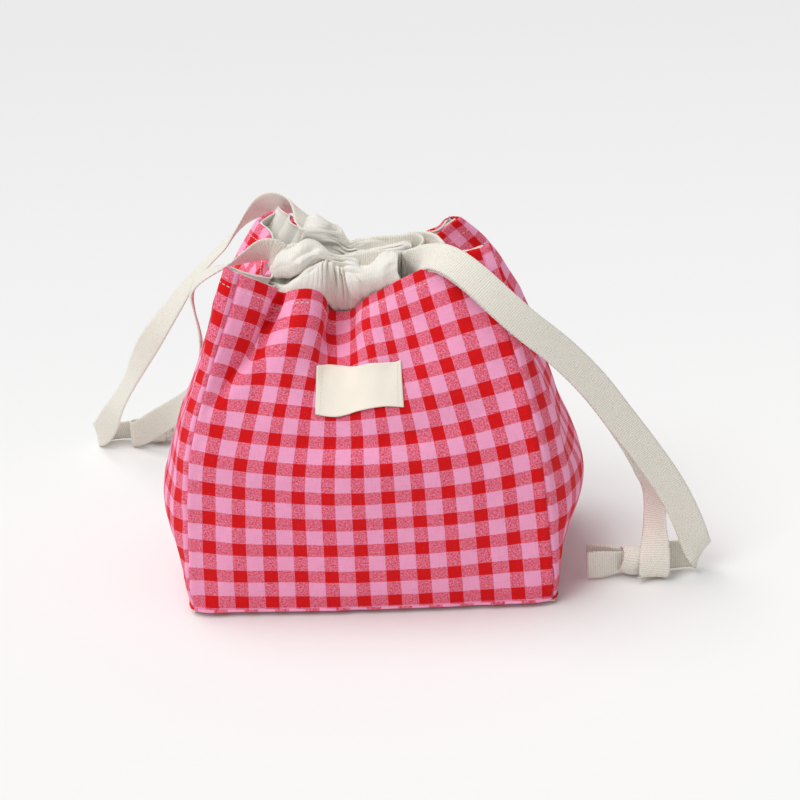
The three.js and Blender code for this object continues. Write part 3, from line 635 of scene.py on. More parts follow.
for wall in walls:
    at = cloth_columns(wall["width"])[:-1]
    start, end = corner[wall["seams"][0]][:, None], corner[wall["seams"][1]][:, None]
    across = 2 * at / wall["width"] - 1
    share = (1 - np.abs(across) ** (2 - 0.8 * fold_in)) ** (1 + 0.4 * fold_in)
    bow = wall["middle"][:, None] - (start + end) / 2
    rows.append(start + (end - start) * ((across + 1) / 2)[None, :, None] + bow * share[:, :, None])
    rims.append(through(wall["rim"], at))
    places.append(at)
    wall_of += [len(wall_ends) - 1] * len(at)
    wall_ends.append(wall_ends[-1] + len(at))
cloth = np.concatenate(rows, axis=1)
rim_target = np.concatenate(rims)
wall_of = np.array(wall_of)
own_place = np.concatenate(places)
start_of = np.cumsum([0, front_width, gusset_width, front_width])
round_place = own_place + start_of[wall_of]
girth = 2 * (front_width + gusset_width)

# The rim is brought to its folds. Its broad shifts reach far down the wall, less
# far away from the front, and the folds themselves stay near the rim.
front_edge_y, front_fade = -10, 14
shift = rim_target - cloth[-1]
apart = np.abs(round_place[:, None] - round_place[None, :])
apart = np.minimum(apart, girth - apart)
column_share = (np.roll(round_place, -1) - np.roll(round_place, 1)) % girth / 2
near = np.exp(-0.5 * (apart / 20) ** 2) * column_share[None, :]
broad = near @ shift / near.sum(axis=1, keepdims=True)
behind_front = np.maximum(rim_target[:, 1] - front_edge_y, 0)
front_share = np.exp(-((behind_front / front_fade) ** 2))[None, :]
sooner, later = smooth_step(0.38, 1, up)[:, None], smooth_step(0.6, 1, up)[:, None]
cloth += (sooner * front_share + later * (1 - front_share))[:, :, None] * broad
cloth += (smooth_step(0.6, 1, up) ** 1.5)[:, None, None] * (shift - broad)


def outward_of(grid):
    """Outward unit normals of a grid that is closed round its columns."""
    round_way = np.roll(grid, -1, axis=1) - np.roll(grid, 1, axis=1)
    return unit(np.cross(round_way, np.gradient(grid, axis=0)))


def softened(grid, times):
    for _ in range(times):
        beside_it = np.roll(grid, 1, axis=1)[1:-1] + np.roll(grid, -1, axis=1)[1:-1]
        inner = (grid[2:] + grid[:-2] + beside_it) / 4
        grid = grid.copy()
        grid[1:-1] = inner
    return grid


# Folds of the front, drawn as lines of [x, z, height]: a fold drops or stands
# by its height, and is so many millimetres wide to its left and to its right.
front_folds = [
    ([(-46.8, 206, -2.0), (-49.5, 196.4, -7.5), (-56, 185.2, -8.2), (-64.1, 174.4, -7.8), (-72, 167, -6.8),
      (-80, 159, -5.4), (-88, 149.5, -3.6), (-97, 140, -1.2)], 8.5, 5.0),
    ([(-36, 208, 0.5), (-39.5, 190, 3.4), (-47, 178, 4.8), (-57, 169, 5.0), (-67, 161, 4.6),
      (-78, 151, 3.4),
      (-90, 139, 1.2)], 7.0, 14.0),
    ([(-17.5, 186, -0.5), (-17, 176, -4.0), (-14, 167, -3.2), (-10, 158, -1.2), (-6, 150, -0.2)], 8.0, 9.0),
    ([(0.5, 192, 0.3), (3, 180, 1.8), (9, 170, 1.6), (17, 160, 0.5)], 6.0, 10.0),
    ([(-95, 128, 0.2), (-60, 121, -1.8), (-20, 117, -2.8), (25, 121, -2.6), (65, 130, -1.6),
      (100, 142, -0.2)], 9.0, 9.0),
    ([(-80, 107, 0.2), (-40, 104, 1.6), (0, 103, 2.4), (45, 108, 2.0), (90, 118, 0.2)], 12.0, 12.0),
    ([(22, 205, -0.2), (34, 190, -1.6), (50, 172, -1.8), (70, 150, -1.2), (88, 128, -0.2)], 10.0, 12.0),
    ([(50, 219, 0.0), (60, 200, 1.2), (75, 176, 1.6), (92, 150, 1.0), (104, 126, 0.1)], 10.0, 10.0),
]


def from_line(x, z, marks):
    """How far to the right of a line a place lies, and the line's height there."""
    marks = np.array(marks)
    dense = through(np.c_[np.linspace(0, 1, len(marks)), marks], np.linspace(0, 1, 50))
    nearest = np.full(x.shape, 1e9)
    side, height = np.zeros_like(x), np.zeros_like(x)
    for a, b in zip(dense[:-1], dense[1:]):
        run = b[:2] - a[:2]
        t = np.clip(((x - a[0]) * run[0] + (z - a[1]) * run[1]) / (run @ run), 0, 1)
        dx, dz = x - a[0] - t * run[0], z - a[1] - t * run[1]
        far = dx**2 + dz**2
        closer = far < nearest
        nearest = np.where(closer, far, nearest)
        side = np.where(closer, run[0] * dz - run[1] * dx, side)
        height = np.where(closer, a[2] + t * (b[2] - a[2]), height)
    return np.sqrt(nearest) * np.sign(side), height


def fold_relief(x, z, folds):
    relief = np.zeros_like(x)
    for marks, left, right in folds:
        side, height = from_line(x, z, marks)
        reach = np.where(side > 0, right, left)
        relief += height * np.exp(-(np.abs(side / reach) ** 1.5))
    return relief


outward = outward_of(softened(cloth, 6))
relief = np.zeros(cloth.shape[:2])
is_front = wall_of == 0
front_x, front_z = cloth[:, is_front, 0].copy(), cloth[:, is_front, 2].copy()
relief[:, is_front] += fold_relief(front_x, front_z, front_folds)

# The deep fold at the left leans over its own valley.
beside_valley, valley_depth = from_line(front_x, front_z, front_folds[0][0])
lean_over = -0.95 * np.abs(valley_depth) * np.exp(-(((beside_valley - 5.5) / 6.5) ** 2))

# The gussets keep a fold along each corner, a little way in from the seam.
from_seam = np.minimum(own_place, np.array([w["width"] for w in walls])[wall_of] - own_place)
is_gusset = (wall_of == 1) | (wall_of == 3)
front_right = (wall_of == 1) & (own_place < gusset_width / 2)
fold_at = np.where(
    front_right[None, :],
    through([[0, 8], [0.25, 17], [0.45, 25], [0.75, 15], [1, 10]], up),
    through([[0, 9], [0.3, 12], [1, 12]], up),
)
fold_size = through([[0, 0.4], [0.12, 1.8], [0.35, 3.0], [0.6, 5.0], [0.85, 3.2], [1, 0]], up)
over = from_seam[None, :] - fold_at
ridge = np.where(over < 0, 1 + over / fold_at, np.exp(-np.maximum(over, 0) / 12))
relief += np.where(is_gusset[None, :], fold_size * ridge, 0)

# Gathers below the rim, soft waves in the walls, and puckers beside the seams.
t_up = up[:, None] * cloth_up
below_rim = cloth_up - t_up
is_back = wall_of == 2
back_gathers = 2.6 * np.sin(2 * math.pi * own_place / 24 + 0.6 * np.sin(own_place / 17))
back_gathers = back_gathers * np.sin(math.pi * own_place / front_width) ** 0.5
relief += np.where(is_back[None, :], back_gathers[None, :] * np.exp(-below_rim / 34), 0)
soft_waves = 0.9 * waves(round_place[None, :], t_up, 7, 55, 110, 3)
relief += soft_waves * smooth_step(0, 0.1, up)[:, None] * smooth_step(0, 16, from_seam)[None, :]
relief += 0.22 * waves(round_place[None, :], t_up, 9, 14, 30, 4)
pucker = np.exp(-from_seam / 5)[None, :] * waves(t_up, 0 * round_place[None, :], 5, 7, 13, 5)
relief += 0.4 * pucker
seam_allowance = 0.55 * np.exp(-(((from_seam - 3.4) / 2.2) ** 2))
seam_relief = (seam_allowance - 1.9 * np.exp(-((from_seam / 1.1) ** 2)))[None, :, None]
cloth = cloth + outward * relief[:, :, None]
cloth[:, is_front, 0] += lean_over * 0.85
cloth[:, is_front, 2] += lean_over * 0.35

# At the floor each corner is tucked in a little, where the base's roll turns.
diagonal = np.sign(cloth[:, :, :2]) * math.sqrt(0.5)
corner_tuck, tuck_width, tuck_height = 4.2, 7, 20
tuck = corner_tuck * np.exp(-((from_seam / tuck_width) ** 2))[None, :]
tuck = tuck * (1 - smooth_step(0, tuck_height, t_up))
cloth[:, :, :2] -= diagonal * tuck[:, :, None]
plain_cloth = cloth.copy()
cloth = cloth + outward * seam_relief


def at_height(grid, share):
    """The row of a grid at a share of its height."""
    k = share * (len(grid) - 1)
    i = min(int(k), len(grid) - 2)
    return grid[i] + (grid[i + 1] - grid[i]) * (k - i)


def wall_cloth(rows_and_heights):
    """Faces between rows that run round the bag, with each wall's own cloth
    coordinates; a red stripe's middle lies at every whole repeat."""
    points = np.concatenate([row for row, _ in rows_and_heights])
    faces, uvs = [], []
    next_place = np.array([
        own_place[i + 1] if i + 1 < columns and wall_of[i + 1] == wall_of[i] else walls[wall_of[i]]["width"]
        for i in range(columns)
    ])
    red_across = np.array([w["red"][0] for w in walls])[wall_of]
    red_up = np.array([w["red"][1] for w in walls])[wall_of]
    left, right = own_place - red_across, next_place - red_across
    for k, i, corners in quads(len(rows_and_heights), columns):
        low, high = rows_and_heights[k][1], rows_and_heights[k + 1][1]
        u0, u1, v0, v1 = left[i], right[i], low - red_up[i], high - red_up[i]
        faces.append(corners)
        uvs += [(u0, v0), (u1, v0), (u1, v1), (u0, v1)]
    return points, faces, uvs


columns = len(own_place)
foot = base_seam_height / wall_run
outward = outward_of(cloth)
level_out = unit(outward * np.array([1, 1, 0]))
first = at_height(cloth, foot)
out_first = at_height(level_out, foot)
rim, rim_out = cloth[-1], outward[-1]
rim_up = unit(cloth[-1] - cloth[-3])
roll, cloth_thickness = 1.5, 1.0
shell_rows = [
    (first - out_first * 1.6 + (0, 0, 0.3), -1.6),
    (first - out_first * 0.9 - (0, 0, 0.25), -0.8),
    (first - out_first * 0.25 - (0, 0, 0.1), -0.3),
    (first + (0, 0, 0.4), 0.3),
]
for k in range(len(up)):
    if up[k] * wall_run > base_seam_height + 0.9:
        shell_rows.append((cloth[k], up[k] * cloth_up - base_seam_height * cloth_up / wall_run))
top_v = shell_rows[-1][1]
for angle in np.radians([30, 60, 90, 120, 150, 180]):
    lift = rim_up * roll * math.sin(angle) - rim_out * roll * (1 - math.cos(angle))
    shell_rows.append((rim + lift, top_v + roll * angle))
inside = cloth - outward * cloth_thickness
deep = smooth_step(0, 0.06, 1 - up)[:, None, None]
inside = inside - outward * (2 * roll - cloth_thickness) * (1 - deep)
for k in range(len(up) - 3, 4, -3):
    shell_rows.append((inside[k], 2 * top_v - up[k] * cloth_up))
shell_rows.append(shell_rows[0])
gingham_shell = make_piece("gingham_outer", *wall_cloth(shell_rows), "bag", "gingham", [
    "outer_front_panel", "outer_back_panel", "outer_left_gusset", "outer_right_gusset",
])

gingham_red = colour(224, 12, 20)
gingham_pink = colour(255, 170, 208)
thread_pitch = 0.55
red_share, stripe_blur = 0.46, 0.008

gingham, nodes, shader, place, along, across = cloth_material("cotton_gingham", 0.88, 0.04)
wander = wire(nodes, "ShaderNodeTexNoise", in0=place, in2=1.6, in3=2.0).outputs[0]
wobble = sum_of(nodes, "MULTIPLY_ADD", wander, 0.8, -0.4)


def stripe(value):
    """1 on a red stripe, 0 on a pink one."""
    repeats = sum_of(nodes, "DIVIDE", sum_of(nodes, "ADD", value, wobble), check_repeat)
    turned = sum_of(nodes, "FRACT", sum_of(nodes, "ADD", repeats, 0.5))
    off_middle = sum_of(nodes, "ABSOLUTE", sum_of(nodes, "SUBTRACT", turned, 0.5))
    low, high = red_share / 2 - stripe_blur, red_share / 2 + stripe_blur
    edge = wire(nodes, "ShaderNodeMapRange", in0=off_middle, in1=low, in2=high, in3=1.0, in4=0.0)
    return edge.outputs[0]


def drawn_out(stretches, scale, detail, roughness=0.5):
    """The mean of two noises, each drawn out along one way of the threads."""
    noises = []
    for stretch in stretches:
        stretched = wire(nodes, "ShaderNodeMapping", in0=place, in3=stretch).outputs[0]
        noise = wire(nodes, "ShaderNodeTexNoise", in0=stretched, in2=scale, in3=detail, in4=roughness)
        noises.append(noise.outputs[0])
    return sum_of(nodes, "MULTIPLY", sum_of(nodes, "ADD", *noises), 0.5)


# Where a red and a pink stripe cross, both threads show as a fine fleck.
warp, weft = stripe(along), stripe(across)
grain = drawn_out(((0.75, 1.5, 1.0), (1.5, 0.75, 1.0)), 0.85, 2.0, 0.7)
warp_on_top, weft_on_top = [
    wire(nodes, "ShaderNodeMapRange", in0=grain, in1=0.42, in2=0.58, in3=low, in4=high).outputs[0]
    for low, high in ((0.3, 0.92), (0.88, 0.34))
]
mixed = []
for own, other, on_top in ((warp, weft, warp_on_top), (weft, warp, weft_on_top)):
    alone = sum_of(nodes, "MULTIPLY", own, sum_of(nodes, "SUBTRACT", 1.0, other))
    mixed.append(sum_of(nodes, "MULTIPLY", alone, on_top))
both_red = sum_of(nodes, "MULTIPLY", warp, weft)
threads = sum_of(nodes, "MAXIMUM", both_red, sum_of(nodes, "ADD", *mixed))
weave = thread_knuckles(nodes, along, across, thread_pitch, thread_pitch)
checks = tinted(nodes, threads, gingham_pink, gingham_red)
slub = drawn_out(((0.1, 1.7, 1.0), (1.7, 0.1, 1.0)), 1.0, 3.0)
slubbed = wire(nodes, "ShaderNodeMapRange", in0=slub, in1=0.36, in2=0.64, in3=0.9, in4=1.08).outputs[0]
worn = wire(nodes, "ShaderNodeVectorMath", operation="SCALE", in0=checks)
gingham.node_tree.links.new(slubbed, worn.inputs["Scale"])
gingham_colour = flecked(nodes, place, worn.outputs[0], colour(255, 200, 218), 0.3, 1.7, 0.71, 0.76, 1.0)
gingham.node_tree.links.new(gingham_colour, shader.inputs["Base Color"])
thread_height = sum_of(nodes, "ADD", weave, sum_of(nodes, "MULTIPLY", slub, 1.2))
raise_threads(nodes, shader, thread_height, 0.1 * MM)
gingham_shell.data.materials.append(gingham)

# The base. One piece of the same gingham, sewn in with a turned seam, so that
# a narrow roll of it shows all round below the walls.
edge = first.copy()
edge[:, 2] = 0
even = edge.copy()
for _ in range(30):
    even = (np.roll(even, 1, axis=0) + 2 * even + np.roll(even, -1, axis=0)) / 4
ahead = np.roll(even, -2, axis=0) - np.roll(even, 2, axis=0)
base_out = unit(np.stack([ahead[:, 1], -ahead[:, 0], 0 * ahead[:, 0]], axis=1))
wavy = 0.35 * waves(round_place, 0 * round_place, 5, 25, 60, 8)[:, None]
base_red = 1.5
base_profile = (
    (-2.2, 4.6), (-0.9, 4.7), (0.1, 4.5), (0.75, 3.8), (0.8, 3.2), (0.3, 2.7), (-1.0, 2.5), (-3.2, 2.2),
    (-6, 1.5), (-9, 0.7), (-12, 0),
)
base_rows = [
    edge + base_out * (out + wavy * (height > 0.5)) + (0, 0, height)
    for out, height in base_profile
]
under = edge - base_out * 12.2
under_rows = [under * (1 - share) for share in np.linspace(0.06, 0.98, 14)]
base_rows += under_rows + [row * (1, 1, 0) + (0, 0, 1.2) for row in reversed(under_rows)]
base_rows += [edge - base_out * inset + (0, 0, height) for inset, height in ((12, 1.4), (5, 3), (2.9, 4.3))]
base_rows.append(base_rows[0])
base_points = np.concatenate(base_rows)
base_faces, base_uvs = [], []
for k, i, (a, b, c, d) in quads(len(base_rows), columns):
    base_faces.append((b, a, d, c))
    base_uvs += [(x - base_red, y + z * np.sign(y)) for x, y, z in base_points[[b, a, d, c]]]
base_cloth = make_piece("gingham_base", base_points, base_faces, base_uvs, "bag", "gingham", ["outer_base"])
base_cloth.data.materials.append(gingham)

# The lining. Undyed linen canvas, the same four walls and base inside the
# gingham, its edge turned in and showing just inside the rim.
linen_step = 1.35
lining_inset, canvas_thickness = 3.2, 1.1

linen, nodes, shader, place, along, across = cloth_material("linen_canvas", 0.9, 0.12)
weave = thread_knuckles(nodes, along, across, linen_step, linen_step)
# The linen's tone mixes random blotches with painted shade between the threads, taken from the weave's
# height.
tone = blotches_and_painted_weave_shade(nodes, place, weave, 0.5, 0.2, 0.95)
canvas = tinted(nodes, tone, colour(232, 223, 208), colour(255, 254, 249))
linen_colour = flecked(nodes, place, canvas, colour(176, 165, 142), 0.3, 1.2, 0.66, 0.74)
linen.node_tree.links.new(linen_colour, shader.inputs["Base Color"])
raise_threads(nodes, shader, weave, 0.24 * MM)

plain_out = outward_of(softened(plain_cloth, 2))
lining_face = plain_cloth - plain_out * lining_inset
lining_back = lining_face - plain_out * canvas_thickness
lining_rows = []
for k in range(len(up) - 1, 5, -3):
    lining_rows.append((lining_back[k], up[k] * cloth_up))
lining_rows.append((at_height(lining_back, 0.016), 4.0))
lining_rows.append((at_height(lining_face, 0.010), 2.0))
for k in range(6, len(up), 3):
    lining_rows.append((lining_face[k], up[k] * cloth_up))
top = lining_face[-1]
for angle in np.radians([0, 45, 90, 135, 180]):
    lift = rim_up * (0.9 + 0.9 * math.sin(angle)) - rim_out * 0.55 * (1 - math.cos(angle)) * 1.3
    lining_rows.append((top + lift, cloth_up + 1.6 * angle))
lining_rows.append(lining_rows[0])
lining_walls = make_piece("linen_lining", *wall_cloth(lining_rows), "bag", "linen", [
    "lining_front_panel", "lining_back_panel", "lining_left_gusset", "lining_right_gusset",
])
lining_walls.data.materials.append(linen)

floor_edge = at_height(cloth, 0.012) - out_first * 2.9
floor_shares = np.linspace(0.02, 1, 12)
floor_rows = [floor_edge * (1, 1, 0) * share + (0, 0, 2.6) for share in floor_shares]
floor_rows += [floor_edge * (1, 1, 0) * share + (0, 0, 1.8) for share in floor_shares[::-1]]
floor_rows.append(floor_rows[0])
floor_points = np.concatenate(floor_rows)
floor_faces, floor_uvs = [], []
for k, i, corners in quads(len(floor_rows), columns):
    floor_faces.append(corners[::-1])
    floor_uvs += [(floor_points[n][0], floor_points[n][1]) for n in corners[::-1]]
lining_floor = make_piece(
    "linen_base", floor_points, floor_faces, floor_uvs, "bag", "linen", ["lining_base"],
)
lining_floor.data.materials.append(linen)

# The casings. Two sleeves of the same canvas, sewn inside the front and the
# back rim. The drawstrings run through them and have gathered each to a pinch
# in its middle, so that its two halves puff up like a bow.
casing_sides, casing_steps = 260, 240
pinch_crowding, crowded_width = 2.2, 11
gathered_along, gathered_round = 1.25, 1.15


def casing(name, outlines, skirt, node, pinch, reach, folds, seed):
    """A sleeve through closed outlines. skirt is each place's share, from 0 to
    1, in the cloth that hangs below the sleeve; pinch is where it is gathered."""
    outlines = np.array(outlines, float)
    marks = outlines.shape[1]
    places = np.r_[0, np.cumsum(np.abs(np.diff(outlines[:, 3, 0])))]
    close = np.linspace(0, places[-1], 600)
    from_pinch = np.interp(close, places, outlines[:, 3, 0]) - pinch
    crowd = np.cumsum(1 + pinch_crowding * np.exp(-((from_pinch / crowded_width) ** 2)))
    even = np.interp(np.linspace(crowd[0], crowd[-1], casing_steps + 1), crowd, close)
    rows = through(np.c_[places, outlines.reshape(len(outlines), -1)], even)
    rows = rows.reshape(-1, marks, 3)
    rings, lows = [], []
    for row in rows:
        wrapped = np.vstack([row[-2:], row, row[:3]])
        at = np.r_[0, np.cumsum(np.linalg.norm(np.diff(wrapped, axis=0), axis=1) ** 0.7)]
        low = np.r_[skirt[-2:], skirt, skirt[:3]]
        even_round = np.linspace(at[2], at[2 + marks], casing_sides, endpoint=False)
        ring = through(np.c_[at, wrapped, low], even_round)
        rings.append(ring[:, :3])
        lows.append(ring[:, 3])
    points, low = np.array(rings), np.clip(np.array(lows), 0, 1)
    x, z = points[:, :, 0], points[:, :, 2]
    beside = np.abs(x - pinch)
    angle = np.broadcast_to(np.linspace(0, 2 * math.pi, casing_sides, endpoint=False)[None, :], x.shape)
    round_way = np.roll(points, -2, axis=1) - np.roll(points, 2, axis=1)
    away = unit(np.cross(np.gradient(points, axis=0), round_way))
    middle = points.mean(axis=1, keepdims=True)
    away *= np.sign((away * (points - middle)).sum())

    # Pleats run into the pinch: along the sleeve on its sides, and fanning out
    # downwards on the skirt below it.
    sleeve_pleats, skirt_pleat_width = 9.5, 3.7
    draw = np.random.default_rng(seed)
    jitter = draw.uniform(0, 2 * math.pi, 6)
    fan = (x - pinch) / (0.55 + 0.45 * low)
    sleeve_turn = sleeve_pleats * angle + 1.1 * np.sin(2 * angle + jitter[0])
    sleeve_turn = sleeve_turn + 0.9 * np.sin(0.25 * (x - pinch) + jitter[1])
    skirt_turn = math.pi * fan / skirt_pleat_width + 0.8 * np.sin(fan / 3.1 + jitter[2])
    skirt_turn = skirt_turn + 0.6 * np.sin(5 * low + jitter[3])
    sleeve_fold = np.abs(np.sin(sleeve_turn)) ** 0.6 * 1.9 - 1.4
    skirt_fold = np.abs(np.sin(skirt_turn)) ** 0.6 * 2.0 - 1.5
    sleeve_size = 1.7 * np.exp(-((beside / reach[0]) ** 2)) + 0.1
    skirt_size = 2.9 * np.exp(-((beside / reach[1]) ** 2)) + 0.15
    share = smooth_step(0.25, 0.6, low)
    relief = sleeve_size * sleeve_fold * (1 - share)
    relief = relief + skirt_size * skirt_fold * share * smooth_step(1.05, 0.85, low)
    seen = smooth_step(0.0, 0.5, -away[:, :, 1] + 0.4 * away[:, :, 2])
    relief += seen * fold_relief(x, z, folds)
    relief += 0.5 * waves(x, 10 * angle, 6, 8, 18, seed) * smooth_step(3, 14, beside)
    steps = np.arange(casing_steps + 1)
    hem = sum(np.exp(-((np.abs(steps - end) / 2.2) ** 2)) for end in (0, casing_steps))
    relief += 0.45 * hem[:, None] * (1 - share)
    points = points + away * relief[:, :, None]
    inner = points - away * cloth_thickness

    spread = np.cumsum(np.r_[0, np.linalg.norm(np.diff(rows[:, 3], axis=0), axis=1)]) * gathered_along
    ring_step = np.linalg.norm(points - np.roll(points, 1, axis=1), axis=2).mean(axis=0) * gathered_round
    around = np.r_[np.cumsum(ring_step), np.cumsum(ring_step)[-1] + ring_step[0]]
    half_count = (casing_steps + 1) * casing_sides
    faces, uvs = [], []
    for k, i, (a, b, c, d) in quads(casing_steps + 1, casing_sides):
        u0, u1, v0, v1 = spread[k], spread[k + 1], around[i], around[i + 1]
        faces += [(a, b, c, d), (half_count + a, half_count + d, half_count + c, half_count + b)]
        uvs += [(u0, v0), (u0, v1), (u1, v1), (u1, v0), (u0, v0), (u1, v0), (u1, v1), (u0, v1)]
    for k in (0, casing_steps):
        for i in range(casing_sides):
            a, b = k * casing_sides + i, k * casing_sides + (i + 1) % casing_sides
            face = (a, half_count + a, half_count + b, b)
            faces.append(face if k == 0 else face[::-1])
            u, v = spread[k], around[i]
            uvs += [(u, v), (u + 1, v), (u + 1, v), (u, v)]
    both_faces = np.concatenate([points.reshape(-1, 3), inner.reshape(-1, 3)])
    piece = make_piece(name, both_faces, faces, uvs, "bag", "linen", [node])
    piece.data.materials.append(linen)


# An outline goes from the foot at the rim up the front, over the top and down
# the back.
casing("front_casing_gathered", [
    [(-56.5, -23, 202), (-58, -21, 205.1), (-58.4, -14, 208.3), (-57.9, -17, 211.3),
     (-57.8, -16.5, 213.5), (-57.9, -15, 214), (-57.9, -13.2, 212.5), (-57.9, -12.8, 208)],
    [(-54, -25.5, 201), (-55.4, -24, 205.3), (-56.5, -12, 205.2), (-55.4, -20, 209.8),
     (-55.2, -18.5, 215), (-55.4, -14.5, 217.8), (-55.4, -12.7, 216.3), (-55.4, -12.3, 211.8)],
    [(-49, -29, 199.5), (-50, -27, 204.8), (-52, -6, 202.8), (-49.9, -22.5, 211.7),
     (-49.6, -20.5, 219.4), (-49.8, -13, 224.5), (-49.8, -11.2, 223), (-49.8, -3.8, 209.5)],
    [(-44.5, -31, 199.5), (-45.4, -28, 204.9), (-47.5, -5, 202.3), (-45.3, -23.5, 212.5),
     (-44.9, -21.5, 220.9), (-45.3, -12, 226), (-45.3, -10.2, 224.5), (-45.3, -2.8, 211)],
    [(-40.5, -32, 200), (-41.4, -28.5, 207.6), (-43.6, -5, 203.2), (-41.4, -24, 212.8),
     (-40.8, -22.5, 222.4), (-41.4, -11, 226.9), (-41.4, -8.6, 225.1), (-41.4, -1.1, 211.1)],
    [(-37, -32.5, 200.5), (-37.3, -28.5, 211.1), (-39.3, -7, 205.7), (-37.6, -23, 212.7),
     (-36.9, -22.5, 223.6), (-37.5, -10, 229.2), (-37.5, -5.7, 226.3), (-37.5, -5.1, 220)],
    [(-33.5, -33, 200.5), (-33.9, -28, 214.2), (-35.4, -12, 209.8), (-34.4, -22, 214.3),
     (-33.7, -22, 224.3), (-34.2, -9.5, 230.2), (-34.2, -3.7, 226.4), (-34.2, -2.9, 219)],
    [(-29.5, -32.5, 200), (-30, -26.5, 216.9), (-31.2, -13, 213), (-30.4, -21, 217.2),
     (-29.9, -20.5, 224.7), (-30.4, -9, 230.6), (-30.4, -1.3, 225.8), (-30.4, -0.3, 217)],
    [(-25.5, -31, 198), (-26.1, -25, 218.9), (-27.1, -14.5, 215.7), (-26.5, -20, 219),
     (-26.2, -19, 224.4), (-26.6, -9.5, 229.2), (-26.6, -1.5, 224.2), (-26.6, -0.5, 215.2)],
    [(-22, -27, 194), (-22.4, -23.5, 219.6), (-23, -16, 217.3), (-22.6, -19, 220.2),
     (-22.5, -17.5, 223.1), (-22.9, -10.5, 225.4), (-22.9, -2.7, 220.5), (-22.9, -1.7, 211.3)],
    [(-19, -16, 185), (-19, -22, 219), (-19.4, -16.5, 217.7), (-19.2, -18, 219.8), (-19.2, -16, 220.9),
     (-19.5, -11.5, 221.8), (-19.5, -5.3, 217.4), (-19.5, -3.8, 207.2)],
    [(-16.5, -11.5, 180), (-16.3, -21.5, 215.8), (-16.5, -17, 217), (-16.4, -17, 218.7),
     (-16.5, -15.5, 219.6), (-16.6, -12, 219.9), (-16.6, -7.4, 216.1), (-16.6, -5.4, 204.7)],
    [(-13.5, -10.5, 180), (-13.4, -21.5, 211.6), (-13.4, -17, 215.6), (-13.3, -16, 217.3),
     (-13.3, -15, 218.6), (-13.4, -12.5, 219.2), (-13.4, -8.7, 215.7), (-13.4, -6.5, 203.7)],
    [(-10.5, -10.5, 180), (-10.2, -22.5, 209.1), (-10.2, -17.5, 214.3), (-10.2, -16, 216.5),
     (-10.1, -15, 218.2), (-10.2, -12.5, 218.8), (-10.2, -7.8, 215), (-10.2, -5.9, 203.6)],
    [(-7.5, -11, 180.5), (-7.7, -24, 207.5), (-7.5, -20, 214.3), (-7.5, -18, 217), (-7.5, -16, 218.7),
     (-7.6, -12.5, 219.3), (-7.6, -6.4, 215), (-7.6, -4.8, 204.6)],
    [(-4.5, -13, 182.5), (-5, -27, 207), (-4.7, -24.5, 213.6), (-4.7, -22, 217.1), (-4.7, -18, 219.6),
     (-4.9, -12.5, 220.9), (-4.9, -5, 216.1), (-4.9, -3.9, 206.7)],
    [(-1, -15.5, 185), (-1.6, -29.5, 207.7), (-1.4, -27, 212.9), (-1.4, -24.5, 216.8),
     (-1.5, -19, 219.7), (-1.7, -12, 222), (-1.7, -4, 217), (-1.7, -3, 208)],
    [(2, -18.5, 188.5), (1.7, -31, 208.7), (1.8, -29, 212.7), (1.9, -26, 216.1), (1.7, -19, 219.3),
     (1.5, -11.5, 222), (1.5, -3.5, 217), (1.5, -2.5, 208)],
    [(5, -21.5, 191), (4.9, -31.5, 209.1), (5, -30, 211.9), (5, -26.5, 214.5), (4.8, -18, 217.9),
     (4.7, -11, 221.7), (4.7, -3, 216.7), (4.7, -2, 207.7)],
    [(10.5, -25, 195), (10.1, -32, 209), (10.2, -31, 212.4), (10.2, -28, 215.4), (10.1, -20.5, 219.1),
     (9.8, -11, 221.5), (9.8, -3, 216.5), (9.8, -2, 207.5)],
    [(16, -28.5, 199.5), (15.3, -33, 210.8), (15.4, -32, 213.8), (15.5, -29.5, 217), (15.4, -22, 220.7),
     (15, -11, 221.7), (15, -3, 216.7), (15, -2, 207.7)],
    [(21, -32.5, 205), (19.8, -33, 212.6), (19.9, -32, 215.6), (20, -30, 219), (20, -23.5, 221.9),
     (19.5, -11.5, 221.6), (19.5, -3.5, 216.6), (19.5, -2.5, 207.6)],
    [(25, -34, 207.5), (23.4, -33, 214.5), (23.5, -31.5, 217.3), (23.6, -29.5, 219.7), (23.5, -24, 222),
     (23.1, -13, 221.6), (23.1, -5, 216.6), (23.1, -4, 207.6)],
    [(27, -34.5, 208.5), (25.3, -33, 214.4), (25.4, -31.5, 216.9), (25.4, -29.5, 218.9),
     (25.3, -24.5, 220.4), (25, -15, 220.1), (25, -7, 215.1), (25, -6, 206.1)],
], [1, 0.6, 0.25, 0, 0, 0, 0, 0.3], "front_casing", -12.5, (9, 8.5), [
    ([(-25, 227, -0.8), (-30, 226.6, -3.0), (-35, 225.8, -3.6), (-39, 223.5, -2.8),
      (-41.5, 220.5, -0.8)], 1.7, 2.4),
    ([(-22, 222, 0.5), (-27, 223.4, 1.6), (-32, 222.6, 1.8), (-37, 219, 0.8)], 2.0, 2.0),
    ([(-24, 220.5, -1.0), (-27.5, 218.5, -2.6), (-31, 215.5, -1.4), (-35, 213.5, -0.3)], 1.5, 1.5),
    ([(-6, 219.2, -0.8), (0, 219.4, -3.2), (4.5, 218.9, -5.0), (8, 219.6, -3.2), (14, 220.6, -1.0),
      (19, 221, -0.2)], 2.6, 2.8),
    ([(-8, 218, 1.2), (-6.5, 211, 2.4), (-4.5, 203, 2.4), (-3, 195, 1.4)], 1.8, 2.6),
    ([(-10, 214, -0.6), (-9, 205, -2.4), (-8, 196, -2.4), (-7, 188, -0.8)], 1.3, 1.3),
    ([(-3, 212, -0.6), (1, 205, -1.6), (4, 199, -0.4)], 1.8, 2.2),
], 21)
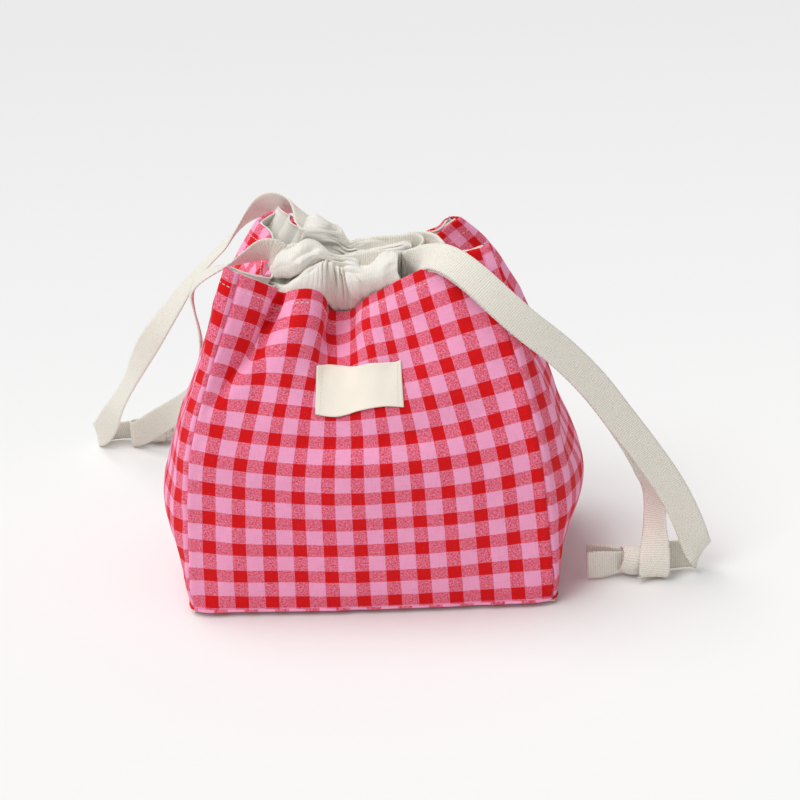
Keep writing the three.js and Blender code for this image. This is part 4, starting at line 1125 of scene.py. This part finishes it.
casing("back_casing_gathered", [
    [(-39.5, 17, 215.7), (-39, 15, 220.4), (-38.7, 13.5, 223.5), (-38.6, 14.5, 226), (-38.9, 19, 227.4),
     (-38.9, 24.5, 222.9), (-39.9, 30.5, 214.7), (-41, 33, 212)],
    [(-35.8, 16, 215.8), (-35.3, 14.5, 221), (-34.9, 12.5, 225.7), (-34.6, 14, 232.1),
     (-34.7, 20, 236.1), (-34.7, 25.5, 231.6), (-36.4, 30.5, 218.6), (-38, 32, 211)],
    [(-33.1, 14.5, 215.5), (-32.6, 12.5, 220.2), (-32.1, 10.5, 225.5), (-31.7, 12, 233.2),
     (-32, 19.5, 237.8), (-32, 25, 233.3), (-33.7, 30, 219.2), (-35.5, 31.5, 210.5)],
    [(-29.7, 13, 214.4), (-29.2, 10.5, 219.6), (-28.7, 8.5, 225.6), (-28.3, 10, 233.7),
     (-28.6, 19, 238.5), (-28.6, 24.5, 234), (-30.3, 29, 219), (-32, 30, 209.5)],
    [(-26.4, 12, 213.9), (-25.9, 10, 219.3), (-25.4, 7.5, 225.5), (-25, 9, 233.1), (-25.4, 18.5, 237.2),
     (-25.4, 24, 232.7), (-26.9, 28.2, 217.8), (-28.5, 29, 208.5)],
    [(-22.4, 11, 213.4), (-21.9, 9, 218.8), (-21.4, 7, 225.1), (-21.1, 9, 231.6), (-21.5, 18, 235.1),
     (-21.5, 23.5, 230.6), (-22.8, 27.2, 216.1), (-24, 27.5, 207)],
    [(-18.4, 10, 212.9), (-18.1, 9, 217.9), (-17.6, 8, 224.3), (-17.4, 10, 229.2), (-17.7, 17.5, 232.7),
     (-17.7, 23, 228.2), (-18.6, 26.2, 214.1), (-19.5, 26, 205.5)],
    [(-15.2, 10, 212.7), (-14.8, 9, 217.8), (-14.5, 9.5, 223.1), (-14.4, 11.5, 227.2),
     (-14.5, 17, 231.1), (-14.5, 22.5, 226.6), (-15.2, 25.5, 213), (-16, 25, 205)],
    [(-12.9, 10, 211.9), (-12.5, 9, 217), (-12.3, 10, 222.2), (-12.2, 12, 225), (-12.2, 15.5, 228.4),
     (-12.2, 20.7, 223.9), (-12.9, 24.1, 211.2), (-13.5, 24, 204)],
    [(-10.6, 10, 211.2), (-10.3, 9.5, 216.1), (-10.1, 10, 220.4), (-10.1, 11.5, 222.3),
     (-10.1, 13.5, 224.4), (-10.1, 17.9, 219.9), (-10.5, 22.4, 209), (-11, 23.5, 203.5)],
    [(-8, 9.5, 211.2), (-7.7, 9, 216.1), (-7.6, 10, 218.9), (-7.6, 11.5, 220.2), (-7.6, 13, 221.4),
     (-7.6, 16.5, 216.9), (-7.8, 21.8, 207.5), (-8, 23.5, 203.5)],
    [(-5.3, 8.5, 211.4), (-5, 8, 216.3), (-4.9, 8.5, 218.9), (-4.9, 10.5, 220.4), (-5, 14, 221.7),
     (-5, 18.4, 217.2), (-5, 22.7, 207.8), (-5, 23.5, 204)],
    [(-1.9, 6, 212.1), (-1.6, 6.5, 216.7), (-1.6, 7.5, 218.7), (-1.6, 10.5, 220.9), (-1.8, 16, 222.3),
     (-1.8, 21.5, 217.8), (-1.6, 24.5, 208.2), (-1.5, 24, 204)],
    [(2.2, 4, 212.5), (2.4, 4.5, 217.1), (2.4, 7.5, 218.6), (2.4, 10.5, 221.1), (2.1, 18, 222.3),
     (2.1, 23.5, 217.8), (2.3, 25.5, 208.4), (2.5, 24, 204.5)],
    [(7.6, 2, 213.6), (7.8, 2.5, 218.9), (7.5, 9, 218.4), (7.5, 12, 221.1), (7.3, 19.5, 222.3),
     (7.3, 25, 217.8), (7.6, 26.5, 209.1), (8, 24.5, 206)],
    [(14.2, 1, 214.3), (14.4, 2, 220.1), (14.1, 10, 219.3), (14.1, 13, 221.2), (13.8, 20, 221.9),
     (13.8, 25.5, 217.4), (13.9, 27, 209.9), (14, 25, 208)],
    [(21.3, 1, 214.7), (21.6, 2, 220.8), (21.3, 11, 219.8), (21.2, 14, 221), (21, 20, 220.9),
     (21, 25.5, 216.4), (21, 27.2, 210.7), (21, 25.5, 210.5)],
    [(27.8, 2, 214.2), (28.1, 3, 221), (27.8, 12, 220), (27.7, 15, 220), (27.6, 19.5, 219.8),
     (27.6, 25, 215.3), (27.5, 27.2, 211.4), (27.5, 26, 213)],
    [(32.8, 5, 212.4), (33.1, 6, 218.2), (33, 13, 219.1), (32.9, 15, 219), (32.8, 18.5, 218.5),
     (32.8, 24, 214), (32.9, 26.5, 211.7), (33, 25.5, 215)],
], [0.4, 0, 0, 0, 0, 0, 0.2, 1], "back_casing", -8.5, (8, 10), [
    ([(-11, 223, -1.0), (-17, 226, -2.2), (-24, 228, -1.2), (-30, 229, -0.3)], 2.2, 2.2),
    ([(-9, 219, -1.0), (-16, 219.5, -2.2), (-24, 219, -1.2), (-31, 219, -0.3)], 2.2, 2.2),
    ([(-12, 229, -1.2), (-17, 231, -2.6), (-22, 232.5, -1.2), (-26, 233, -0.2)], 1.5, 1.8),
    ([(-6, 219.6, -1.2), (2, 219.0, -3.6), (10, 219.2, -3.8), (20, 220.2, -2.8),
      (29, 220.8, -0.8)], 1.2, 1.4),
], 22)

# The drawstrings inside the casings, and the turns that join them outside.
front_tunnel = smooth_rows([
    (-45, -8.6, 217, 20), (-39, -9.4, 218.5, 19), (-31, -11.5, 219, 15), (-22, -12.5, 218, 10),
    (-13.5, -12.5, 216.5, 7),
    (-5, -14, 215.5, 11), (3, -15.2, 214.2, 16), (12, -15, 213.6, 19), (20.2, -13.6, 212.2, 20),
    (26, -13, 211.2, 20),
], 30)
back_tunnel = smooth_rows([
    (-28.6, 14.9, 220.6, 20), (-25.5, 15.6, 221.8, 18), (-21.5, 16.2, 222.6, 15), (-16, 15, 220.8, 11),
    (-9, 13.8, 218, 7),
    (0, 14.5, 217.3, 10), (10, 15.5, 216.6, 13), (20, 15.8, 215.8, 15), (27, 16, 215.2, 17),
    (33.1, 16, 215, 20),
], 30)


def beside(tunnel, step, turn):
    """A strap's rows along a tunnel, moved a step sideways, its face turned with it."""
    ahead = unit(np.gradient(tunnel[:, :3], axis=0))
    side = unit(np.stack([-ahead[:, 1], ahead[:, 0], 0 * ahead[:, 0]], axis=1))
    return [[*(row[:3] + s * step), *(s * turn), row[3]] for row, s in zip(tunnel, side)]


left_turn = [
    [30.5, -11, 211.2, 0.25, -1, 0], [36.5, -7.5, 211.6, 0.8, -0.7, 0], [39.8, 0, 212.3, 1, -0.15, 0],
    [40.8, 7.5, 213.6, 1, 0.3, 0], [38, 13.2, 214.6, 0.6, 0.8, 0],
]
right_turn = [
    [-47.7, -9.6, 217, 0, 1, 0, 16], [-51.5, -9.9, 216, 0, 1, 0, 10], [-53.7, -10.2, 213, 0, 1, 0, 9],
    [-54.2, -10.3, 209, 0, 1, 0, 9], [-54.2, -9.7, 205, 0, 1, 0.3, 9], [-54, -6.5, 202, 0, 0.6, 0.8, 9],
    [-52, 0, 201, 0, 0, 1, 9], [-45.5, 8.5, 201, 0, 0, 1, 8], [-38, 14.6, 203, 0, -0.6, 0.8, 7],
    [-33.6, 17.3, 207.5, 0, -1, 0, 6], [-32.8, 17.4, 213, 0, -1, 0, 6], [-32.5, 17.2, 217.6, 0, -1, 0, 6],
    [-31.8, 16.8, 220.4, 0, -1, 0, 9], [-30.3, 16.5, 221.2, 0, -1, 0, 14],
]
left_run = beside(front_tunnel, 1, -1) + left_turn + beside(back_tunnel, -1, 1)[::-1]
right_run = beside(front_tunnel, -1, 1)[::-1] + right_turn + beside(back_tunnel, 1, -1)
for side, run in (("left", left_run), ("right", right_run)):
    points, faces, uvs, _ = strap_mesh(run)
    strip = make_piece(side + "_drawstring_in_casings", points, faces, uvs, side + "_drawstring", "webbing",
                       [side + "_drawstring_run"])
    strip.data.materials.append(webbing)

# The label. A small bare patch of cream cotton twill, sewn to the front along
# its two short edges, so that its long edges follow the cloth in a wave.
label_cotton, nodes, shader, place, along, across = cloth_material("label_cotton", 0.8, 0.05)
fine = thread_knuckles(nodes, along, across, 0.42, 0.42)
# The label's tone mixes random blotches with painted shade between the threads, taken from the weave's
# height.
tone = blotches_and_painted_weave_shade(nodes, place, fine, 1.4, 0.5, 0.5)
label_colour = tinted(nodes, tone, colour(242, 233, 218), colour(251, 244, 231))
label_cotton.node_tree.links.new(label_colour, shader.inputs["Base Color"])
raise_threads(nodes, shader, fine, 0.05 * MM)

front_columns = np.where(is_front)[0]
front_grid = cloth[:, front_columns]
front_out = outward_of(softened(cloth, 3))[:, front_columns]


def on_front(x, z, lift):
    """The point of the front wall that lies at x and z, lifted off it."""
    near_point = np.abs(front_grid[:, :, 0] - x) + np.abs(front_grid[:, :, 2] - z)
    k, i = np.unravel_index(np.argmin(near_point), near_point.shape)
    k, i = min(max(k, 1), len(front_grid) - 2), min(max(i, 1), len(front_columns) - 2)
    here, across_step = front_grid[k, i], (front_grid[k, i + 1] - front_grid[k, i - 1]) / 2
    up_step = (front_grid[k + 1, i] - front_grid[k - 1, i]) / 2
    m = np.array([[across_step[0], up_step[0]], [across_step[2], up_step[2]]])
    a, b = np.linalg.solve(m, [x - here[0], z - here[2]])
    return here + across_step * a + up_step * b + front_out[k, i] * lift


label_top = [
    [0, -28.1, 161.8], [0.14, -20.3, 159.7], [0.28, -12.8, 158.4], [0.42, -5.2, 159.1], [0.55, 1.9, 161.8],
    [0.68, 9, 164], [0.8, 15.9, 164.2], [0.91, 22.2, 164.1], [1, 26, 165.3],
]
label_bottom = [
    [0, -29.1, 135.5], [0.14, -22, 133.9], [0.23, -16.5, 133.5], [0.35, -10.1, 134.4],
    [0.52, -0.6, 137.1], [0.7, 9, 139.1], [0.87, 18.4, 139.9], [1, 27.1, 139.1],
]
label_across, label_up = 56, 32
label_lifts = (0.55, 1.25)
shares = np.linspace(0, 1, label_across + 1)
top_edge, low_edge = through(label_top, shares), through(label_bottom, shares)
label_faces_at = []
for lift in label_lifts:
    sheet = []
    for j in range(label_up + 1):
        for i in range(label_across + 1):
            x, z = low_edge[i] + (top_edge[i] - low_edge[i]) * j / label_up
            free = math.sin(math.pi * i / label_across) * abs(2 * j / label_up - 1) ** 3
            sheet.append(on_front(x, z, lift + 0.9 * free))
    label_faces_at.append(np.array(sheet))
label_points = np.concatenate(label_faces_at)
label_count = (label_up + 1) * (label_across + 1)
faces, uvs = [], []
row_length = label_across + 1
for j, i, (a, b, c, d) in quads(label_up + 1, row_length):
    if i < label_across:
        faces += [tuple(label_count + n for n in (a, b, c, d)), (a, d, c, b)]
        spots = ((i, j), (i + 1, j), (i + 1, j + 1), (i, j + 1))
        uvs += [*spots, spots[0], *spots[:0:-1]]
border = (
    [(i, 0) for i in range(label_across)] + [(label_across, j) for j in range(label_up)]
    + [(i, label_up) for i in range(label_across, 0, -1)] + [(0, j) for j in range(label_up, 0, -1)]
)
for (i0, j0), (i1, j1) in zip(border, border[1:] + border[:1]):
    a, b = j0 * row_length + i0, j1 * row_length + i1
    faces.append((a, b, label_count + b, label_count + a))
    uvs += [(i0, j0), (i1, j1), (i1, j1), (i0, j0)]
label = make_piece("bare_label", label_points, faces, uvs, "bag", "label_cotton", ["label"])
label.data.materials.append(label_cotton)

# The stitching. Cream sewing thread: a line of stitches near each short edge of
# the label, and a line round the mouth about 9 mm below the rim.
thread_radius, thread_sinks = 0.23, 0.42
stitch_step, stitch_share = 3.4, 0.68
label_stitch_count = 12
rim_stitch_drop = 8.8
sewing_thread, nodes, shader, place, along, across = cloth_material("sewing_thread", 0.7, 0.1)
# The thread's colour darkens in stripes along its twist: painted shade in the grooves between its plies.
twist = sum_of(nodes, "SINE", sum_of(nodes, "MULTIPLY", sum_of(nodes, "ADD", along, across), 6.0))
painted_twist_shade = sum_of(nodes, "MULTIPLY_ADD", twist, 0.5, 0.5)
thread_colour = tinted(nodes, painted_twist_shade, colour(236, 208, 200), colour(252, 236, 228))
sewing_thread.node_tree.links.new(thread_colour, shader.inputs["Base Color"])


def stitches(name, spots, node):
    """One small closed length of thread for each pair of points and outward way."""
    parts = []
    for a, b, out in spots:
        a, b = np.array(a), np.array(b)
        way = unit(b - a)
        side = unit(np.cross(way, out))
        length = np.linalg.norm(b - a)
        points, faces, uvs = [], [], []
        rings, sides = 7, 8
        for k in range(rings):
            share = k / (rings - 1)
            from_middle = abs(2 * share - 1)
            sink = -thread_sinks * from_middle**4
            radius = thread_radius * (1 - 0.5 * from_middle**6)
            for i in range(sides):
                angle = 2 * math.pi * i / sides
                above = sink + radius * math.sin(angle)
                points.append(a + way * length * share + out * above + side * radius * math.cos(angle))
        for k, i, corners in quads(rings, sides):
            faces.append(corners)
            uvs += [(k, i), (k, i + 1), (k + 1, i + 1), (k + 1, i)]
        faces += [tuple(range(sides - 1, -1, -1)), tuple((rings - 1) * sides + i for i in range(sides))]
        uvs += [(0, i) for i in range(sides)] * 2
        parts.append((points, faces, uvs))
    piece = make_piece(name, *joined(parts), "bag", "thread", [node])
    piece.data.materials.append(sewing_thread)


def label_point(across_share, up_share):
    """The point on the label's face at a share of its length and its height."""
    i, j = across_share * label_across, up_share * label_up
    i0, j0 = int(i), int(j)
    i1, j1 = min(i0 + 1, label_across), min(j0 + 1, label_up)
    a, b = i - i0, j - j0
    face = label_points[label_count:].reshape(label_up + 1, row_length, 3)
    return (face[j0, i0] * (1 - a) * (1 - b) + face[j0, i1] * a * (1 - b)
            + face[j1, i0] * (1 - a) * b + face[j1, i1] * a * b)


def at_run(length, run, rows):
    """The row at a length along a line, between the rows on either side."""
    return np.array([np.interp(length, run, column) for column in rows.T])


for side, share in (("left", 0.055), ("right", 0.945)):
    spots = []
    for k in range(label_stitch_count):
        low, high = [0.03 + 0.94 * n / label_stitch_count for n in (k, k + stitch_share)]
        a, b = label_point(share, low), label_point(share, high)
        out = unit(np.cross(label_point(share + 0.02, low) - label_point(share - 0.02, low), b - a))
        spots.append((a + out * 0.12, b + out * 0.12, out))
    stitches(side + "_label_stitching", spots, "label_stitches_" + side)

stitch_row = at_height(cloth, 1 - rim_stitch_drop / wall_run)
stitch_out = unit(at_height(outward, 1 - rim_stitch_drop / wall_run))
for n, wall in enumerate(walls):
    inside_wall = np.where(wall_of == n)[0]
    line = np.vstack([stitch_row[inside_wall], stitch_row[(inside_wall[-1] + 1) % columns]])
    outs = np.vstack([stitch_out[inside_wall], stitch_out[(inside_wall[-1] + 1) % columns]])
    run = np.cumsum(np.r_[0.0, np.linalg.norm(np.diff(line, axis=0), axis=1)])
    spots = []
    for start in np.arange(1.6, run[-1] - 4.2, stitch_step):
        ends = [at_run(length, run, line) for length in (start, start + stitch_step * stitch_share)]
        out = unit(at_run(start, run, outs))
        spots.append((ends[0] + out * 0.14, ends[1] + out * 0.14, out))
    stitches(wall["name"] + "_rim_stitching", spots, wall["name"] + "_topstitch")

# The studio. A pale seamless sheet under and behind the bag, whose colour grows a
# little darker into the distance as painted falloff of light, under soft light from
# all round, stronger from above and from the left of the front.
floor_size = 24.0

floor_mesh = bpy.data.meshes.new("studio_floor")
half = floor_size / 2
floor_corners = [(-half, -half, 0), (half, -half, 0), (half, half, 0), (-half, half, 0)]
floor_mesh.from_pydata(floor_corners, [], [[0, 1, 2, 3]])
floor = bpy.data.objects.new("studio_floor", floor_mesh)
floor.location.z = -0.7 * MM
bpy.context.scene.collection.objects.link(floor)
paper = bpy.data.materials.new("studio_paper")
paper.use_nodes = True
nodes = paper.node_tree.nodes
shader = nodes["Principled BSDF"]
shader.inputs["Roughness"].default_value = 0.9
shader.inputs["Specular IOR Level"].default_value = 0.0
where = wire(nodes, "ShaderNodeTexCoord").outputs["Object"]
depth = wire(nodes, "ShaderNodeSeparateXYZ", in0=where).outputs[1]
distance = wire(nodes, "ShaderNodeMapRange", in0=depth, in1=-0.5, in2=3.5).outputs[0]
ramp = wire(nodes, "ShaderNodeValToRGB", in0=distance)
# The floor's colour darkens with distance: painted falloff of light.
floor_falloff_tones = ((0.0, 241), (0.14, 241), (0.25, 236), (0.4, 232), (0.6, 228), (1.0, 227))
while len(ramp.color_ramp.elements) < len(floor_falloff_tones):
    ramp.color_ramp.elements.new(0.5)
for element, (position, tone) in zip(ramp.color_ramp.elements, floor_falloff_tones):
    element.position = position
    element.color = colour(tone, tone + (1 if position < 0.2 else 0), tone)
paper.node_tree.links.new(ramp.outputs[0], shader.inputs["Base Color"])
floor_mesh.materials.append(paper)

world = bpy.data.worlds.new("studio_world")
world.use_nodes = True
bpy.context.scene.world = world
world.node_tree.nodes["Background"].inputs[0].default_value = (1, 1, 1, 1)
world.node_tree.nodes["Background"].inputs[1].default_value = 0.42


def soft_sun(name, towards, spread, strength):
    """A wide light from far off; towards points from the bag to it."""
    data = bpy.data.lights.new(name, "SUN")
    data.angle = math.radians(spread)
    data.energy = strength
    lamp = bpy.data.objects.new(name, data)
    bpy.context.scene.collection.objects.link(lamp)
    lamp.rotation_euler = Vector(towards).to_track_quat("Z", "Y").to_euler()


soft_sun("light_above", (-0.38, 0.14, 1.0), 42, 1.4)
soft_sun("light_front_left", (-0.6, -0.7, 1.1), 32, 0.98)

bpy.context.scene.view_settings.view_transform = "Standard"
